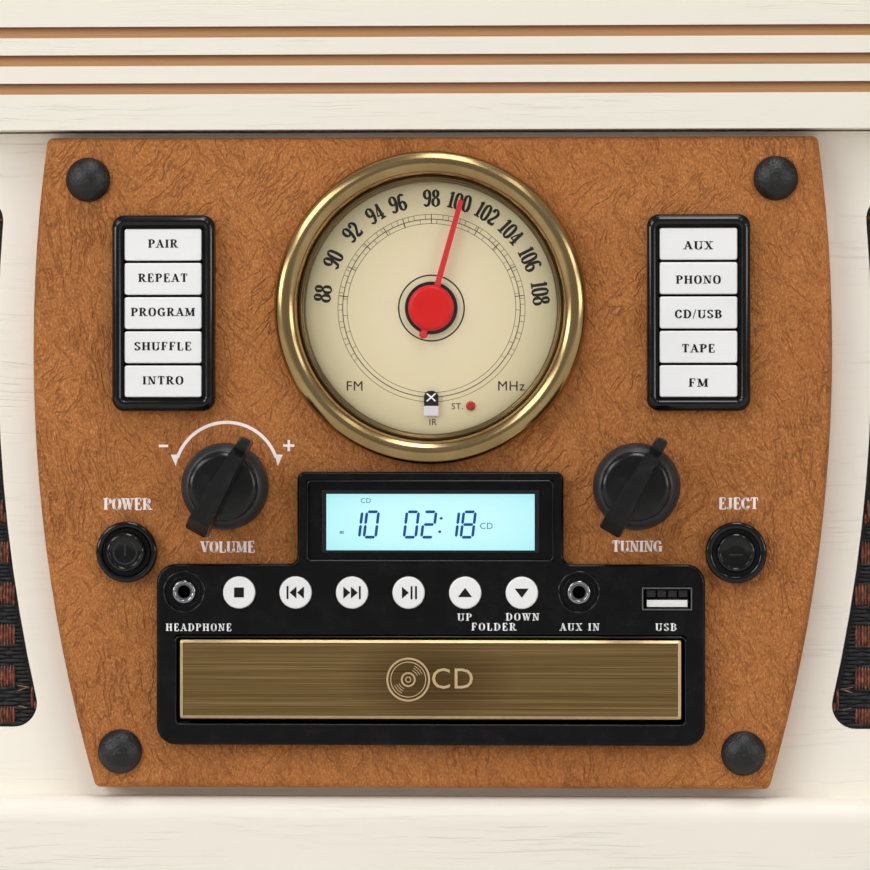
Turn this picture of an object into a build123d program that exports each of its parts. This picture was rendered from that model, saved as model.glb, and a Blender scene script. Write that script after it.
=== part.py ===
from build123d import *
from math import asin, cos, radians, sin, sqrt
import os

# Stereo music centre: a wooden table-top cabinet with a record deck under its lid, a
# dial tuner, a disc drawer and keys on a leatherette front panel, and a cassette slot
# in its right side. Units are millimetres. +X is to the right of someone who faces the
# front, +Y runs to the back and +Z is up. The origin is the middle of the footprint,
# on the surface that the feet stand on.

# ---- Clearances -----------------------------------------------------------------------
fit = 0.3  # between a piece and the opening it sits or slides in
shaft_fit = 0.05  # radial, round a turning or sliding shaft
seat_gap = 0.4  # behind knobs and under the lid

# ---- Cabinet --------------------------------------------------------------------------
body_width = 506.0
body_depth = 350.0  # front of the baffle to the outside of the back panel
body_height = 194.6
corner_radius = 20.0  # upright corners
wall = 12.0
back_thickness = 6.0
rebate = 6.0  # width of the step that carries the deck
edge_overhang = 12.0  # lid and plinth stand out past the body
foot_height = 8.0
foot_radius = 14.0
foot_taper = 2.0
foot_inset = 42.0
foot_screw_radius = 4.0
foot_screw_depth = 3.0
plinth_height = 28.0
plinth_wall = 28.0
plinth_step = 8.0  # plinth stands out behind the back panel
plinth_edge_radius = 7.0
floor_thickness = 8.0
floor_ledge = 8.0

# ---- Lid ------------------------------------------------------------------------------
lid_height = 69.0
lid_wall = 18.0
lid_roof = 12.0
lid_edge_radius = 12.0
lid_cavity_radius = 10.0
groove_count = 3
groove_height = 3.2
groove_depth = 2.0
groove_pitch = 8.27
groove_first = 12.0  # lowest groove above the rim

# ---- Hinges and stay ------------------------------------------------------------------
hinge_spread = 150.0
hinge_leaf_width = 42.0
hinge_leaf_height = 22.0
hinge_leaf_thickness = 1.5
knuckle_radius = 4.0
knuckle_count = 5
hinge_pin_radius = 2.0
hinge_screw_radius = 3.0
hinge_screw_rise = 1.0
hinge_screw_spread = 13.0
hinge_screw_drop = 14.0
lid_travel = 72.0
stay_radius = 90.0
stay_width = 7.0
stay_thickness = 2.0
stay_wall_gap = 6.0  # stay to the inside of the cabinet wall
stay_top_angle = 7.0
stay_tail_angle = 5.0  # part of the stay still in its guide when the lid is open
stay_lug_height = 8.0
stay_lug_length = 12.0
guide_height = 8.0
guide_length = 22.0
guide_width = 12.0

# ---- Front panel ----------------------------------------------------------------------
panel_thickness = 10.0
panel_drop = 1.8  # top edge below the rim of the cabinet
panel_lift = 2.7  # bottom edge above the plinth
panel_margin = 36.9  # fascia's side to the panel's side at its widest
panel_waist = 62.1  # widest place below the top edge
panel_side_radius = 455.0
panel_edge_radius = 2.0
panel_window_margin = 18.0  # fascia's side to the side of the window in the baffle
panel_window_lift = 5.6  # fascia's bottom to the bottom of that window
panel_window_drop = 20.8  # panel's top to the top of that window
stud_radius = 6.5
stud_height = 4.5
stud_edge = 0.8
stud_shank_radius = 2.0
stud_shank_length = 18.0
stud_top_inset = 16.4  # from the panel's widest place
stud_low_inset = 25.8
stud_top_drop = 12.3
stud_low_lift = 10.5

# ---- Grilles and speakers -------------------------------------------------------------
grille_gap = 11.5  # panel side to the grille beside it
grille_margin = 29.0  # from the cabinet's side
grille_drop = 16.8  # below the panel's top
grille_lift = 17.1  # above the panel's bottom
grille_least_radius = 1.0
grille_inner_radius = 7.0
grille_outer_radius = 16.0
grille_pocket = 6.5
grille_thickness = 4.0
grille_cloth = 1.0
grille_frame_width = 7.0
speaker_margin = 3.8  # hole to the sides of the grille
speaker_flange_width = 8.0
speaker_flange_thickness = 3.0
speaker_surround = 3.0
speaker_cone_depth = 17.0
speaker_cone_thickness = 1.0
speaker_throat_radius = 13.0
speaker_basket_depth = 27.0
speaker_basket_wall = 1.6
magnet_inset = 12.0
magnet_depth = 16.0

# ---- Dial -----------------------------------------------------------------------------
dial_gap_above = 5.3  # bezel to the panel's top
dial_gap_below = 3.2  # bezel to the display fascia
bezel_width = 6.0
bezel_height = 6.5
bezel_shoulder = 2.4
bezel_tube_inset = 4.8
bezel_lip_inset = 8.0
lens_inset = 6.4
lens_thickness = 1.2
lens_seat = 2.0  # lens back above the panel front
face_depth = 2.5  # dial face behind the panel front
face_thickness = 1.5
dial_bush_radius = 4.0
pointer_shaft_radius = 1.5
pointer_hub_radius = 6.7
pointer_hub_height = 2.4
pointer_hub_round = 1.45
pointer_hub_gap = 0.8
pointer_disc_radius = 7.7
pointer_disc_thickness = 0.5
pointer_inset = 11.9  # tip to the bezel's outside
pointer_tail = 8.5
pointer_width = 1.8
pointer_tip_width = 1.5
pointer_thickness = 0.8
pointer_angle = 15.7  # clockwise from upright
ir_width = 4.2
ir_height = 7.3
ir_window_height = 4.4
ir_inset = 16.8  # centre to the bezel's outside
ir_rise = 1.2
ir_top_radius = 1.9
led_radius = 1.4
led_x = 11.5
led_inset = 16.0
led_rise = 0.9
led_edge_radius = 0.7

# ---- Knobs ----------------------------------------------------------------------------
knob_reach = 24.0  # bar of a knob in front of the panel
knob_x = 60.1
knob_drop = 4.3  # below the fascia's top
knob_skirt_radius = 12.75
knob_skirt_height = 7.0
knob_skirt_taper = 0.8
knob_dome_radius = 10.2
knob_dome_rise = 5.5
knob_groove = 0.7
knob_bar_tail = 15.2
knob_bar_tip = 16.0
knob_bar_tail_width = 6.9
knob_bar_tip_width = 3.4
knob_bar_corner = 0.8
knob_bar_foot = 8.5  # underside of the bar's ends in front of the panel
knob_bar_bevel = 3.0
knob_tip_step = 4.2
knob_tip_drop = 4.0
volume_angle = 28.8
tuning_angle = 29.8
spindle_radius = 3.0
spindle_bush_radius = 4.8
pot_radius = 8.5
tuning_drum_radius = 4.5
dial_drum_ratio = 3.0
drum_width = 4.0
drum_gap = 1.3
drum_board_gap = 1.5
control_board_setback = 8.0  # behind the front of the baffle
control_board_side = 3.0  # inside the window in the baffle
control_board_drop = 2.0
stem_clear = 1.0
dial_cord = 1.0

# ---- Keys -----------------------------------------------------------------------------
key_inset = 38.8  # centre to the panel's widest place
key_drop = 1.5  # middle of the five below the dial's centre
key_count = 5
key_width = 22.65
key_spacing = 0.73
key_depth = 5.0
key_corner = 0.7
key_recess = 0.3
key_travel = 1.0
key_stem_width = 8.0
key_stem_height = 3.0
key_top_radius = 0.4
switch_height = 3.0
frame_width = 30.1
frame_margin = 3.65  # frame's end to the nearest key's pitch
frame_shortfall = 32.0  # frame is shorter than the bezel is wide
frame_corner = 3.6
frame_rise = 4.5
frame_edge_radius = 1.6
frame_tube_wall = 1.2
frame_back = 1.5

# ---- Power and eject buttons ----------------------------------------------------------
round_gap = 9.0  # centre to the fascia's side
round_drop = 23.5  # centre below the fascia's top
collar_radius = 8.9
collar_rise = 3.0
collar_edge_radius = 1.0
collar_tube_radius = 7.4
round_button_radius = 5.7
round_button_depth = 8.0
round_stem_radius = 2.5
round_stem_length = 9.0
round_edge_radius = 0.8
power_rise = 3.0
eject_rise = 0.6

# ---- Display fascia -------------------------------------------------------------------
fascia_rise = 4.5
fascia_lift = 12.7  # above the panel's bottom
fascia_low_height = 52.8
fascia_high_height = 26.9
fascia_top_half = 38.8
fascia_side = 6.95  # drawer front to the fascia's side
fascia_top_corner = 2.3
fascia_corner = 5.7
fascia_inner_corner = 2.5
fascia_edge_radius = 0.9
fascia_margin = 2.5  # rim of the fascia that lies on the panel
window_half = 36.1
window_lift = 0.7  # above the fascia's shoulder
window_drop = 2.3  # below the fascia's top
window_recess = 2.0
window_clear = 0.2
module_half = 31.8
module_lift = 3.3
module_drop = 5.3
module_depth = 9.0
module_lip_side = 2.0
module_lip_end = 1.5
screen_half = 30.4
screen_lift = 4.0
screen_drop = 6.5
screen_thickness = 1.2
screen_recess = 0.6

# ---- Transport buttons and sockets ----------------------------------------------------
transport_names = ["stop", "previous", "next", "play", "folder_up", "folder_down"]
transport_inset = 24.3  # first button to the fascia's side
transport_drop = 8.3  # below the fascia's shoulder
transport_radius = 4.7
transport_rise = 1.2
transport_travel = 0.8
transport_edge_radius = 0.5
transport_flange = 5.4
transport_flange_thickness = 1.0
jack_drop = 8.15
headphone_inset = 8.1
aux_inset = 36.6
aux_gap = 16.6  # last button to the line socket
jack_dish_radius = 5.9
jack_dish_depth = 1.0
jack_ring_radius = 3.4
jack_ring_rise = 0.2
jack_bore_radius = 1.8
jack_bore_depth = 14.0
jack_nose = 1.0
jack_nose_radius = 0.6
jack_body_width = 8.0
jack_body_height = 9.0
usb_inset = 11.0
usb_drop = 10.0
usb_width = 14.6
usb_height = 6.6
usb_wall = 0.5
usb_depth = 14.0
usb_rise = 0.3
usb_tongue_height = 2.0
usb_tongue_gap = 0.9
front_board_depth = 14.0  # socket board behind the panel front
front_board_drop = 14.7  # its bottom below the fascia's shoulder
front_board_clear = 1.7
front_post_radius = 1.5
board_thickness = 1.6
post_radius = 2.5

# ---- Disc drawer ----------------------------------------------------------------------
tray_front_width = 146.1
tray_front_height = 22.9
tray_front_lift = 19.2  # middle above the fascia's bottom
tray_front_thickness = 4.0
tray_front_bevel = 1.0
tray_front_rise = 0.5
tray_slot_margin = 1.6
tray_slot_corner = 1.2
tray_side_gap = 2.45  # tray's side to the side of its front
tray_length = 152.0
tray_thickness = 7.0
tray_drop = 4.6  # tray's underside below the middle of its front
disc_radius = 60.0
disc_well_depth = 3.5
disc_margin = 6.0
tray_notch_half = 14.0
drive_below = 12.1  # case's bottom below the middle of the drawer front
drive_above = 15.9
drive_wall = 2.0
drive_tail = 18.0  # case is longer than the tray
drive_setback = 0.5
drive_rail = 5.0
drive_post_radius = 4.0
drive_post_inset = 12.0
drive_post_setback = 36.0
sled_half = 12.0
sled_length = 60.0
bridge_width = 20.0
clamp_radius = 14.0
clamp_gap = 2.0

# ---- Record deck ----------------------------------------------------------------------
deck_drop = 4.6  # deck's top below the rim of the cabinet
deck_thickness = 6.0
platter_arm_distance = 192.0
platter_offset = 0.5  # ahead of the cabinet's middle
platter_margin = 77.0  # platter's edge to the outside of the body, front and back
platter_height = 10.0
platter_edge = 1.0
platter_gap = 1.0
platter_web = 3.0
platter_rim = 4.0
platter_hub_inset = 58.0
mat_inset = 3.0
mat_thickness = 2.0
record_boss_radius = 12.0
record_pin_radius = 3.55
record_pin_height = 13.0
record_pin_taper = 2.0
record_pin_tip = 1.5
bearing_radius = 3.0
bearing_length = 14.0
bearing_wall = 4.0
belt_width = 4.0
belt_thickness = 1.0
belt_lift = 0.5  # above the foot of the pulley
pulley_ratio = 8.0
pulley_inset = 26.0  # pulley's middle to the platter's edge
pulley_angle = 140.0
pulley_height = 5.0
pulley_gap = 1.5  # above the deck
pulley_clear = 2.0
motor_shaft_radius = 1.0
motor_shaft_length = 18.0
motor_radius = 15.0
motor_height = 22.0

# ---- Tonearm and deck levers ----------------------------------------------------------
arm_side = 123.0  # arm's pillar to the side of the cabinet
arm_back = 67.5
arm_height = 28.0  # arm axis above the deck
arm_shortfall = 115.0  # arm is shorter than the body is deep
arm_tube_radius = 4.0
arm_block_half = 7.5
arm_cheek = 2.6
arm_pivot_radius = 1.5
arm_base_radius = 16.0
arm_base_height = 6.0
yoke_radius = 10.0
yoke_drop = 10.0  # pillar top below the arm axis
counterweight_radius = 10.0
counterweight_near = 20.0
counterweight_length = 18.0
headshell_width = 16.0
headshell_length = 32.0
headshell_height = 3.0
cartridge_height = 8.0
cartridge_half = 5.6
cartridge_front = 3.0
cartridge_back = 8.0
stylus_height = 2.0
stylus_half_width = 1.0
stylus_half_length = 2.0
rest_gap = 60.0  # rest to the stylus
rest_radius = 5.0
rest_lip = 2.0
cue_arm_gap = 42.0
cue_arm_ahead = 50.0
cue_block = 12.0
cue_pivot_height = 10.0
cue_arm_length = 32.0
cue_arm_width = 3.0
cue_pad_length = 8.0
cue_pin_radius = 2.0
lever_side = 68.0  # levers to the side of the cabinet
speed_ahead = 72.0  # ahead of the platter's middle
speed_shaft_radius = 2.5
speed_hub_radius = 6.0
speed_arm_length = 22.0
speed_arm_width = 5.0
speed_height = 4.0
stop_ahead = 12.0
stop_travel = 6.0
stop_knob_length = 8.0
stop_knob_width = 6.0
stop_knob_height = 4.0
stop_stem = 3.0

# ---- Cassette slot --------------------------------------------------------------------
cassette_offset = 17.5  # behind the cabinet's middle
cassette_drop = 80.6  # below the rim of the cabinet
cassette_width = 104.0
cassette_height = 14.0
cassette_depth = 76.0
cassette_wall = 3.0
cassette_flange = 4.0
cassette_flange_thickness = 2.0
flap_thickness = 1.5
flap_inset = 4.0
flap_pin_radius = 1.0
flap_roll_radius = 1.5
flap_pin_drop = 2.0
cassette_key_gap = 14.0
cassette_key_width = 10.0
cassette_key_height = 8.0
cassette_key_rise = 4.0
cassette_key_length = 20.0
cassette_key_guide = 18.0

# ---- Electronics and rear terminals ---------------------------------------------------
board_length = 160.0
board_width = 110.0
board_side = 123.0  # board's middle to the left side
board_back = 82.5
board_standoff = 8.0
capacitor_radius = 8.0
capacitor_height = 30.0
capacitor_count = 3
sink_length = 60.0
sink_height = 34.0
sink_fin = 3.0
sink_fin_depth = 15.0
sink_fins = 5
transformer_side = 133.0  # to the right side
transformer_back = 77.5
transformer_width = 62.0
transformer_depth = 34.0
transformer_height = 52.0
coil_margin = 10.0
terminal_side = 103.0  # to the right side
terminal_lift = 44.0  # above the plinth
terminal_corner = 2.0
terminal_width = 96.0
terminal_height = 34.0
terminal_plate = 1.5
terminal_margin = 5.0
line_radius = 4.1
line_length = 7.5
line_spacing = 16.0
aerial_radius = 4.8
inlet_width = 22.0
inlet_height = 12.0
inlet_depth = 18.0
inlet_wall = 2.0
inlet_pin_radius = 1.1
inlet_pin_spacing = 8.6
vent_count = 9
vent_pitch = 10.0
vent_width = 4.0
vent_height = 46.0
vent_lift = 84.0  # above the plinth

# ---- Places and sizes worked out from the ones above -----------------------------------
both_sides = (-1, 1)

# Cabinet
body_z = foot_height + plinth_height
rim_z = body_z + body_height
lid_z = rim_z + seat_gap
top_z = lid_z + lid_height
knuckle_y_out = 2 * knuckle_radius + seat_gap
rear_reach = max(knuckle_y_out, plinth_step, terminal_plate + line_length)
overall_depth = knob_reach + panel_thickness + body_depth + rear_reach
face_y = knob_reach + panel_thickness - overall_depth / 2  # front of the baffle
back_y = face_y + body_depth
body_mid_y = (face_y + back_y) / 2
half_width = body_width / 2
board_half = half_width - corner_radius  # flat part of the front and back
inner_half = half_width - wall
hinge_y = back_y + knuckle_radius + seat_gap
hinge_z = rim_z + seat_gap / 2
stay_x = -(inner_half - stay_wall_gap)

# Layers of the front, from the back forwards
panel_y = face_y - panel_thickness
trim_y = panel_y - fascia_rise
frame_y = panel_y - frame_rise
control_board_y = face_y + control_board_setback
drum_y = control_board_y - drum_board_gap - drum_gap - drum_width
key_face_y = frame_y + key_recess
key_back_y = key_face_y + key_depth
key_plate_y = key_back_y + key_travel + fit

# Panel and display fascia
panel_top = rim_z - panel_drop
panel_bottom = body_z + panel_lift
panel_waist_z = panel_top - panel_waist
fascia_bottom = panel_bottom + fascia_lift
fascia_shoulder = fascia_bottom + fascia_low_height
fascia_top = fascia_shoulder + fascia_high_height
fascia_half = tray_front_width / 2 + fascia_side
panel_half_width = fascia_half + panel_margin
panel_window_half = fascia_half + panel_window_margin
panel_window_bottom = fascia_bottom + panel_window_lift
panel_window_top = panel_top - panel_window_drop
stud_top_x = panel_half_width - stud_top_inset
stud_low_x = panel_half_width - stud_low_inset
stud_top_z = panel_top - stud_top_drop
stud_low_z = panel_bottom + stud_low_lift
window_bottom = fascia_shoulder + window_lift
window_top = fascia_top - window_drop
module_bottom = fascia_shoulder + module_lift
module_top = fascia_top - module_drop
screen_bottom = fascia_shoulder + screen_lift
screen_top = fascia_top - screen_drop

# Grilles and speakers
grille_outer_x = half_width - grille_margin
grille_inner_x = panel_half_width + grille_gap
grille_bottom = panel_bottom + grille_lift
grille_top = panel_top - grille_drop
speaker_x = (grille_outer_x + grille_inner_x) / 2
speaker_z = (grille_bottom + grille_top) / 2
speaker_hole_radius = (grille_outer_x - grille_inner_x) / 2 - speaker_margin
speaker_flange_radius = speaker_hole_radius + speaker_flange_width
speaker_cone_radius = speaker_hole_radius - speaker_surround
magnet_radius = speaker_hole_radius - magnet_inset

# Dial, which fills the panel above the display
bezel_radius = (panel_top - fascia_top - dial_gap_above - dial_gap_below) / 2
dial_z = fascia_top + dial_gap_below + bezel_radius
bezel_opening = bezel_radius - bezel_width
bezel_tube_radius = bezel_radius - bezel_tube_inset
bezel_lip_radius = bezel_radius - bezel_lip_inset
lens_radius = bezel_radius - lens_inset
pointer_length = bezel_radius - pointer_inset
ir_drop = bezel_radius - ir_inset
led_drop = bezel_radius - led_inset
dial_drum_radius = tuning_drum_radius * dial_drum_ratio

# Knobs, keys and buttons
knob_z = fascia_top - knob_drop
key_x = panel_half_width - key_inset
key_z = dial_z - key_drop
frame_height = 2 * bezel_radius - frame_shortfall
key_pitch = (frame_height - 2 * frame_margin) / key_count
key_height = key_pitch - key_spacing
round_x = fascia_half + round_gap
round_z = fascia_top - round_drop
transport_x = transport_inset - fascia_half
transport_z = fascia_shoulder - transport_drop
aux_x = fascia_half - aux_inset
headphone_x = headphone_inset - fascia_half
transport_pitch = (aux_x - aux_gap - transport_x) / (len(transport_names) - 1)
jack_z = fascia_shoulder - jack_drop
usb_x = fascia_half - usb_inset
usb_z = fascia_shoulder - usb_drop
front_board_low = fascia_shoulder - front_board_drop
front_board_high = fascia_shoulder - front_board_clear

# Disc drawer
tray_front_z = fascia_bottom + tray_front_lift
tray_width = tray_front_width - 2 * tray_side_gap
tray_bottom = tray_front_z - tray_drop
drive_bottom = tray_front_z - drive_below
drive_top = tray_front_z + drive_above
drive_length = tray_length + drive_tail

# Record deck, arm and levers
deck_z = rim_z - deck_drop
deck_bottom = deck_z - deck_thickness
arm_x = half_width - arm_side
arm_y = back_y - arm_back
arm_length = body_depth - arm_shortfall
rest_distance = arm_length - rest_gap
platter_x = arm_x - platter_arm_distance
platter_y = body_mid_y - platter_offset
platter_radius = body_depth / 2 - platter_margin
platter_hub_radius = platter_radius - platter_hub_inset
mat_radius = platter_radius - mat_inset
pulley_distance = platter_radius - pulley_inset
cue_x = arm_x + cue_arm_gap
cue_y = arm_y - cue_arm_ahead
speed_x = half_width - lever_side
speed_y = platter_y - speed_ahead
stop_x = half_width - lever_side
stop_y = platter_y - stop_ahead

# Cassette slot, electronics and the back
cassette_y = body_mid_y + cassette_offset
cassette_z = rim_z - cassette_drop
board_x = board_side - half_width
board_y = back_y - board_back
transformer_x = half_width - transformer_side
transformer_y = back_y - transformer_back
terminal_x = half_width - terminal_side
terminal_z = body_z + terminal_lift
vent_x = board_x
vent_z = body_z + vent_lift


# ---- Drawing helpers ------------------------------------------------------------------
def front_plane(y):
    """Plane seen from the front: local x is +X and local y is +Z."""
    return Plane(origin=(0, y, 0), x_dir=(1, 0, 0), z_dir=(0, -1, 0))


def board(outline, front, back):
    """Solid with a front-view outline, from depth front to depth back."""
    return extrude(front_plane(back) * outline, amount=back - front, dir=(0, -1, 0))


def layer(outline, low, high):
    """Solid with a plan-view outline, from height low to height high."""
    return extrude(Pos(0, 0, low) * outline, amount=high - low, dir=(0, 0, 1))


def side_cut(outline, left, right):
    """Solid with a side-view outline of +Y and +Z, from x left to x right."""
    plane = Plane(origin=(left, 0, 0), x_dir=(0, 1, 0), z_dir=(1, 0, 0))
    return extrude(plane * outline, amount=right - left, dir=(1, 0, 0))


def block(x, y, z):
    """Box between a pair of limits along each axis."""
    size = [high - low for low, high in (x, y, z)]
    middle = [(high + low) / 2 for low, high in (x, y, z)]
    return Pos(*middle) * Box(*size)


def rod(x, z, radius, front, back):
    """Round bar along Y."""
    return board(Pos(x, z) * Circle(radius), front, back)


def pillar(x, y, radius, low, high):
    """Round bar along Z."""
    return layer(Pos(x, y) * Circle(radius), low, high)


def axle(y, z, radius, left, right):
    """Round bar along X."""
    return side_cut(Pos(y, z) * Circle(radius), left, right)


def polygon(*points):
    return Polygon(*points, align=None)


def turned(profile, x, z, y):
    """Solid of revolution about a front-to-back axis at x, z. The profile holds the
    radius and the distance in front of depth y."""
    plane = Plane(origin=(x, y, z), x_dir=(1, 0, 0), z_dir=(0, 0, -1))
    return revolve(plane * profile, axis=Axis((x, y, z), (0, 1, 0)))


def spun(profile, x, y):
    """Solid of revolution about an upright axis at x, y. The profile holds the radius
    and the height."""
    plane = Plane(origin=(x, y, 0), x_dir=(1, 0, 0), z_dir=(0, -1, 0))
    return revolve(plane * profile, axis=Axis((x, y, 0), (0, 0, 1)))


def dome_arc(radius, low, high):
    """Arc of a sphere centred on the axis, from the rim at radius up to the top."""
    rise = high - low
    ball = (radius**2 + rise**2) / (2 * rise)
    half_turn = asin(radius / ball) / 2
    middle = (ball * sin(half_turn), high - ball * (1 - cos(half_turn)))
    return ThreePointArc((radius, low), middle, (0, high))


def edges_at_depth(solid, y):
    """Edges that lie wholly at one depth."""
    return solid.edges().filter_by_position(Axis.Y, y - 0.01, y + 0.01)


def edges_at_height(solid, z):
    """Edges that lie wholly at one height."""
    return solid.edges().filter_by_position(Axis.Z, z - 0.01, z + 0.01)


def rect(left, right, low, high):
    """Rectangle between limits."""
    return Pos((left + right) / 2, (low + high) / 2) * Rectangle(right - left, high - low)


# ---- Cabinet --------------------------------------------------------------------------
def body_plan():
    return Pos(0, body_mid_y) * RectangleRounded(body_width, body_depth, corner_radius)


def inner_plan(inset):
    """Inside of the body, a distance inset in from its outside."""
    return Pos(0, body_mid_y) * Rectangle(body_width - 2 * inset, body_depth - 2 * inset)


def deck_rebate():
    return layer(inner_plan(wall - rebate), deck_bottom, rim_z)


def cassette_flange_outline():
    low = cassette_y - cassette_width / 2 - cassette_wall - cassette_flange
    high = cassette_key_y() + cassette_key_width / 2 + cassette_wall + cassette_flange
    tall = cassette_height + 2 * (cassette_wall + cassette_flange)
    corner = cassette_flange
    return Pos((low + high) / 2, cassette_z) * RectangleRounded(high - low, tall, corner)


def cassette_key_y():
    return cassette_y + cassette_width / 2 + cassette_key_gap


def side_panels():
    """Two sides, each with its upright corners turned a little way round the front
    and back. The right one is cut for the cassette slot and its key."""
    shell = layer(body_plan(), body_z, rim_z) - layer(inner_plan(wall), body_z, rim_z)
    shell -= deck_rebate()
    grow = 2 * cassette_wall + 2 * fit
    slot = Pos(cassette_y, cassette_z) * Rectangle(cassette_width + grow, cassette_height + grow)
    key = Pos(cassette_key_y(), cassette_z)
    key *= Rectangle(cassette_key_width + grow, cassette_key_height + grow)
    shell -= side_cut(slot + key, inner_half, half_width)
    depth = (face_y, back_y)
    height = (body_z, rim_z)
    left = shell & block((-half_width, -board_half), depth, height)
    right = shell & block((board_half, half_width), depth, height)
    return [left, right]


def panel_side_x(z, grow=0.0):
    """Half width of the front panel at height z, grown outward by grow."""
    centre = panel_half_width - panel_side_radius
    radius = panel_side_radius + grow
    return centre + sqrt(radius**2 - (z - panel_waist_z) ** 2)


def grille_outline(side, shrink=0.0):
    """Opening beside the panel: its inner edge follows the panel's side."""
    low = grille_bottom + shrink
    high = grille_top - shrink
    outer = grille_outer_x - shrink
    gap = grille_gap + shrink
    inner = [panel_side_x(z, gap) for z in (low, panel_waist_z, high)]
    lines = [
        ThreePointArc((inner[0], low), (inner[1], panel_waist_z), (inner[2], high)),
        Line((inner[2], high), (outer, high)),
        Line((outer, high), (outer, low)),
        Line((outer, low), (inner[0], low)),
    ]
    shape = make_face(lines)
    near = shape.vertices().filter_by_position(Axis.X, 0, outer - 1)
    shape = fillet(near, max(grille_inner_radius - shrink, grille_least_radius))
    far = shape.vertices().filter_by_position(Axis.X, outer - 0.01, outer + 0.01)
    shape = fillet(far, max(grille_outer_radius - shrink, grille_least_radius))
    return shape if side > 0 else mirror(shape, about=Plane.YZ)


def front_baffle():
    """Front board: a window behind the control panel, a pocket for each grille and a
    round hole for each speaker."""
    back = face_y + wall
    solid = block((-board_half, board_half), (face_y, back), (body_z, rim_z))
    solid -= deck_rebate()
    half = panel_window_half
    solid -= board(rect(-half, half, panel_window_bottom, panel_window_top), face_y, back)
    for side in both_sides:
        solid -= board(grille_outline(side), face_y, face_y + grille_pocket)
        solid -= rod(side * speaker_x, speaker_z, speaker_hole_radius, face_y, back)
    for x, z in stud_places():
        solid -= rod(x, z, stud_shank_radius + shaft_fit, face_y, back)
    return [solid]


def back_panel():
    """Back board between the sides, with a terminal opening and vent slots."""
    front = back_y - back_thickness
    solid = block((-board_half, board_half), (front, back_y), (body_z, rim_z))
    trim = 2 * terminal_margin
    opening = Rectangle(terminal_width - trim, terminal_height - trim)
    solid -= board(Pos(terminal_x, terminal_z) * opening, front, back_y)
    for n in range(vent_count):
        x = vent_x + (n - (vent_count - 1) / 2) * vent_pitch
        slot = SlotOverall(vent_height, vent_width, rotation=90)
        solid -= board(Pos(x, vent_z) * slot, front, back_y)
    return [solid]


def plinth_plan():
    depth = body_depth + edge_overhang + plinth_step
    middle = (face_y - edge_overhang + back_y + plinth_step) / 2
    radius = corner_radius + edge_overhang
    return Pos(0, middle) * RectangleRounded(body_width + 2 * edge_overhang, depth, radius)


def plinth_inside(inset):
    depth = body_depth + edge_overhang + plinth_step
    middle = (face_y - edge_overhang + back_y + plinth_step) / 2
    width = body_width + 2 * edge_overhang
    return Pos(0, middle) * Rectangle(width - 2 * inset, depth - 2 * inset)


def base_plinth():
    """Rounded plinth ring with the cabinet floor let into its top."""
    floor_z = body_z - floor_thickness
    ring = layer(plinth_plan(), foot_height, body_z)
    ring = fillet(edges_at_height(ring, body_z), plinth_edge_radius)
    ring -= layer(plinth_inside(plinth_wall + floor_ledge), foot_height, floor_z)
    floor_plan = plinth_inside(plinth_wall)
    ring -= layer(floor_plan, floor_z, body_z)
    for x, y in foot_places():
        ring -= pillar(x, y, foot_screw_radius, foot_height, foot_height + foot_screw_depth)
    return [ring, layer(floor_plan, floor_z, body_z)]


def foot_places():
    x = half_width + edge_overhang - foot_inset / 2
    front = face_y - edge_overhang + foot_inset / 2
    back = back_y + plinth_step - foot_inset / 2
    return [(sx * x, y) for sx in both_sides for y in (front, back)]


def rubber_feet():
    """Four tapered feet, each with a boss that presses into the plinth."""
    low = foot_radius - foot_taper
    top = foot_height + foot_screw_depth - fit
    boss = foot_screw_radius - shaft_fit
    profile = polygon(
        (0, 0), (low, 0), (foot_radius, foot_height), (boss, foot_height), (boss, top), (0, top)
    )
    return [spun(profile, x, y) for x, y in foot_places()]


# ---- Lid and its hinges ----------------------------------------------------------------
def lid_plan(inset):
    """Lid outline, moved in by inset. It is flush with the body at the back."""
    width = body_width + 2 * (edge_overhang - inset)
    depth = body_depth + edge_overhang - 2 * inset
    radius = max(corner_radius + edge_overhang - inset, lid_cavity_radius)
    return Pos(0, body_mid_y - edge_overhang / 2) * RectangleRounded(width, depth, radius)


def lid_shell():
    """Hollow lid with a band of grooves round its front and sides."""
    solid = layer(lid_plan(0), lid_z, top_z)
    solid = fillet(edges_at_height(solid, top_z), lid_edge_radius)
    solid -= layer(lid_plan(lid_wall), lid_z, top_z - lid_roof)
    stop_y = back_y - corner_radius - edge_overhang
    ahead = block((-body_width, body_width), (face_y - body_depth, stop_y), (lid_z, top_z))
    for n in range(groove_count):
        middle = lid_z + groove_first + n * groove_pitch
        low = middle - groove_height / 2
        band = layer(lid_plan(0) - lid_plan(groove_depth), low, low + groove_height)
        solid -= band & ahead
    return [solid]


def hinge_leaf(x, up, turning):
    """Leaf on the back face. It keeps clear of the other leaf's knuckles."""
    left = x - hinge_leaf_width / 2
    pitch = hinge_leaf_width / knuckle_count
    depth = (back_y, back_y + hinge_leaf_thickness)
    clear = knuckle_radius + seat_gap
    low, high = (clear, hinge_leaf_height) if up else (-hinge_leaf_height, -clear)
    leaf = block((left, left + hinge_leaf_width), depth, (hinge_z + low, hinge_z + high))
    for n in range(turning, knuckle_count, 2):
        start = left + n * pitch + shaft_fit
        end = start + pitch - 2 * shaft_fit
        leaf += axle(hinge_y, hinge_z, knuckle_radius, start, end)
        near = (hinge_z, hinge_z + clear) if up else (hinge_z - clear, hinge_z)
        leaf += block((start, end), depth, near)
    if not up:
        leaf -= axle(hinge_y, hinge_z, hinge_pin_radius + shaft_fit, left, left + hinge_leaf_width)
    return leaf


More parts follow.
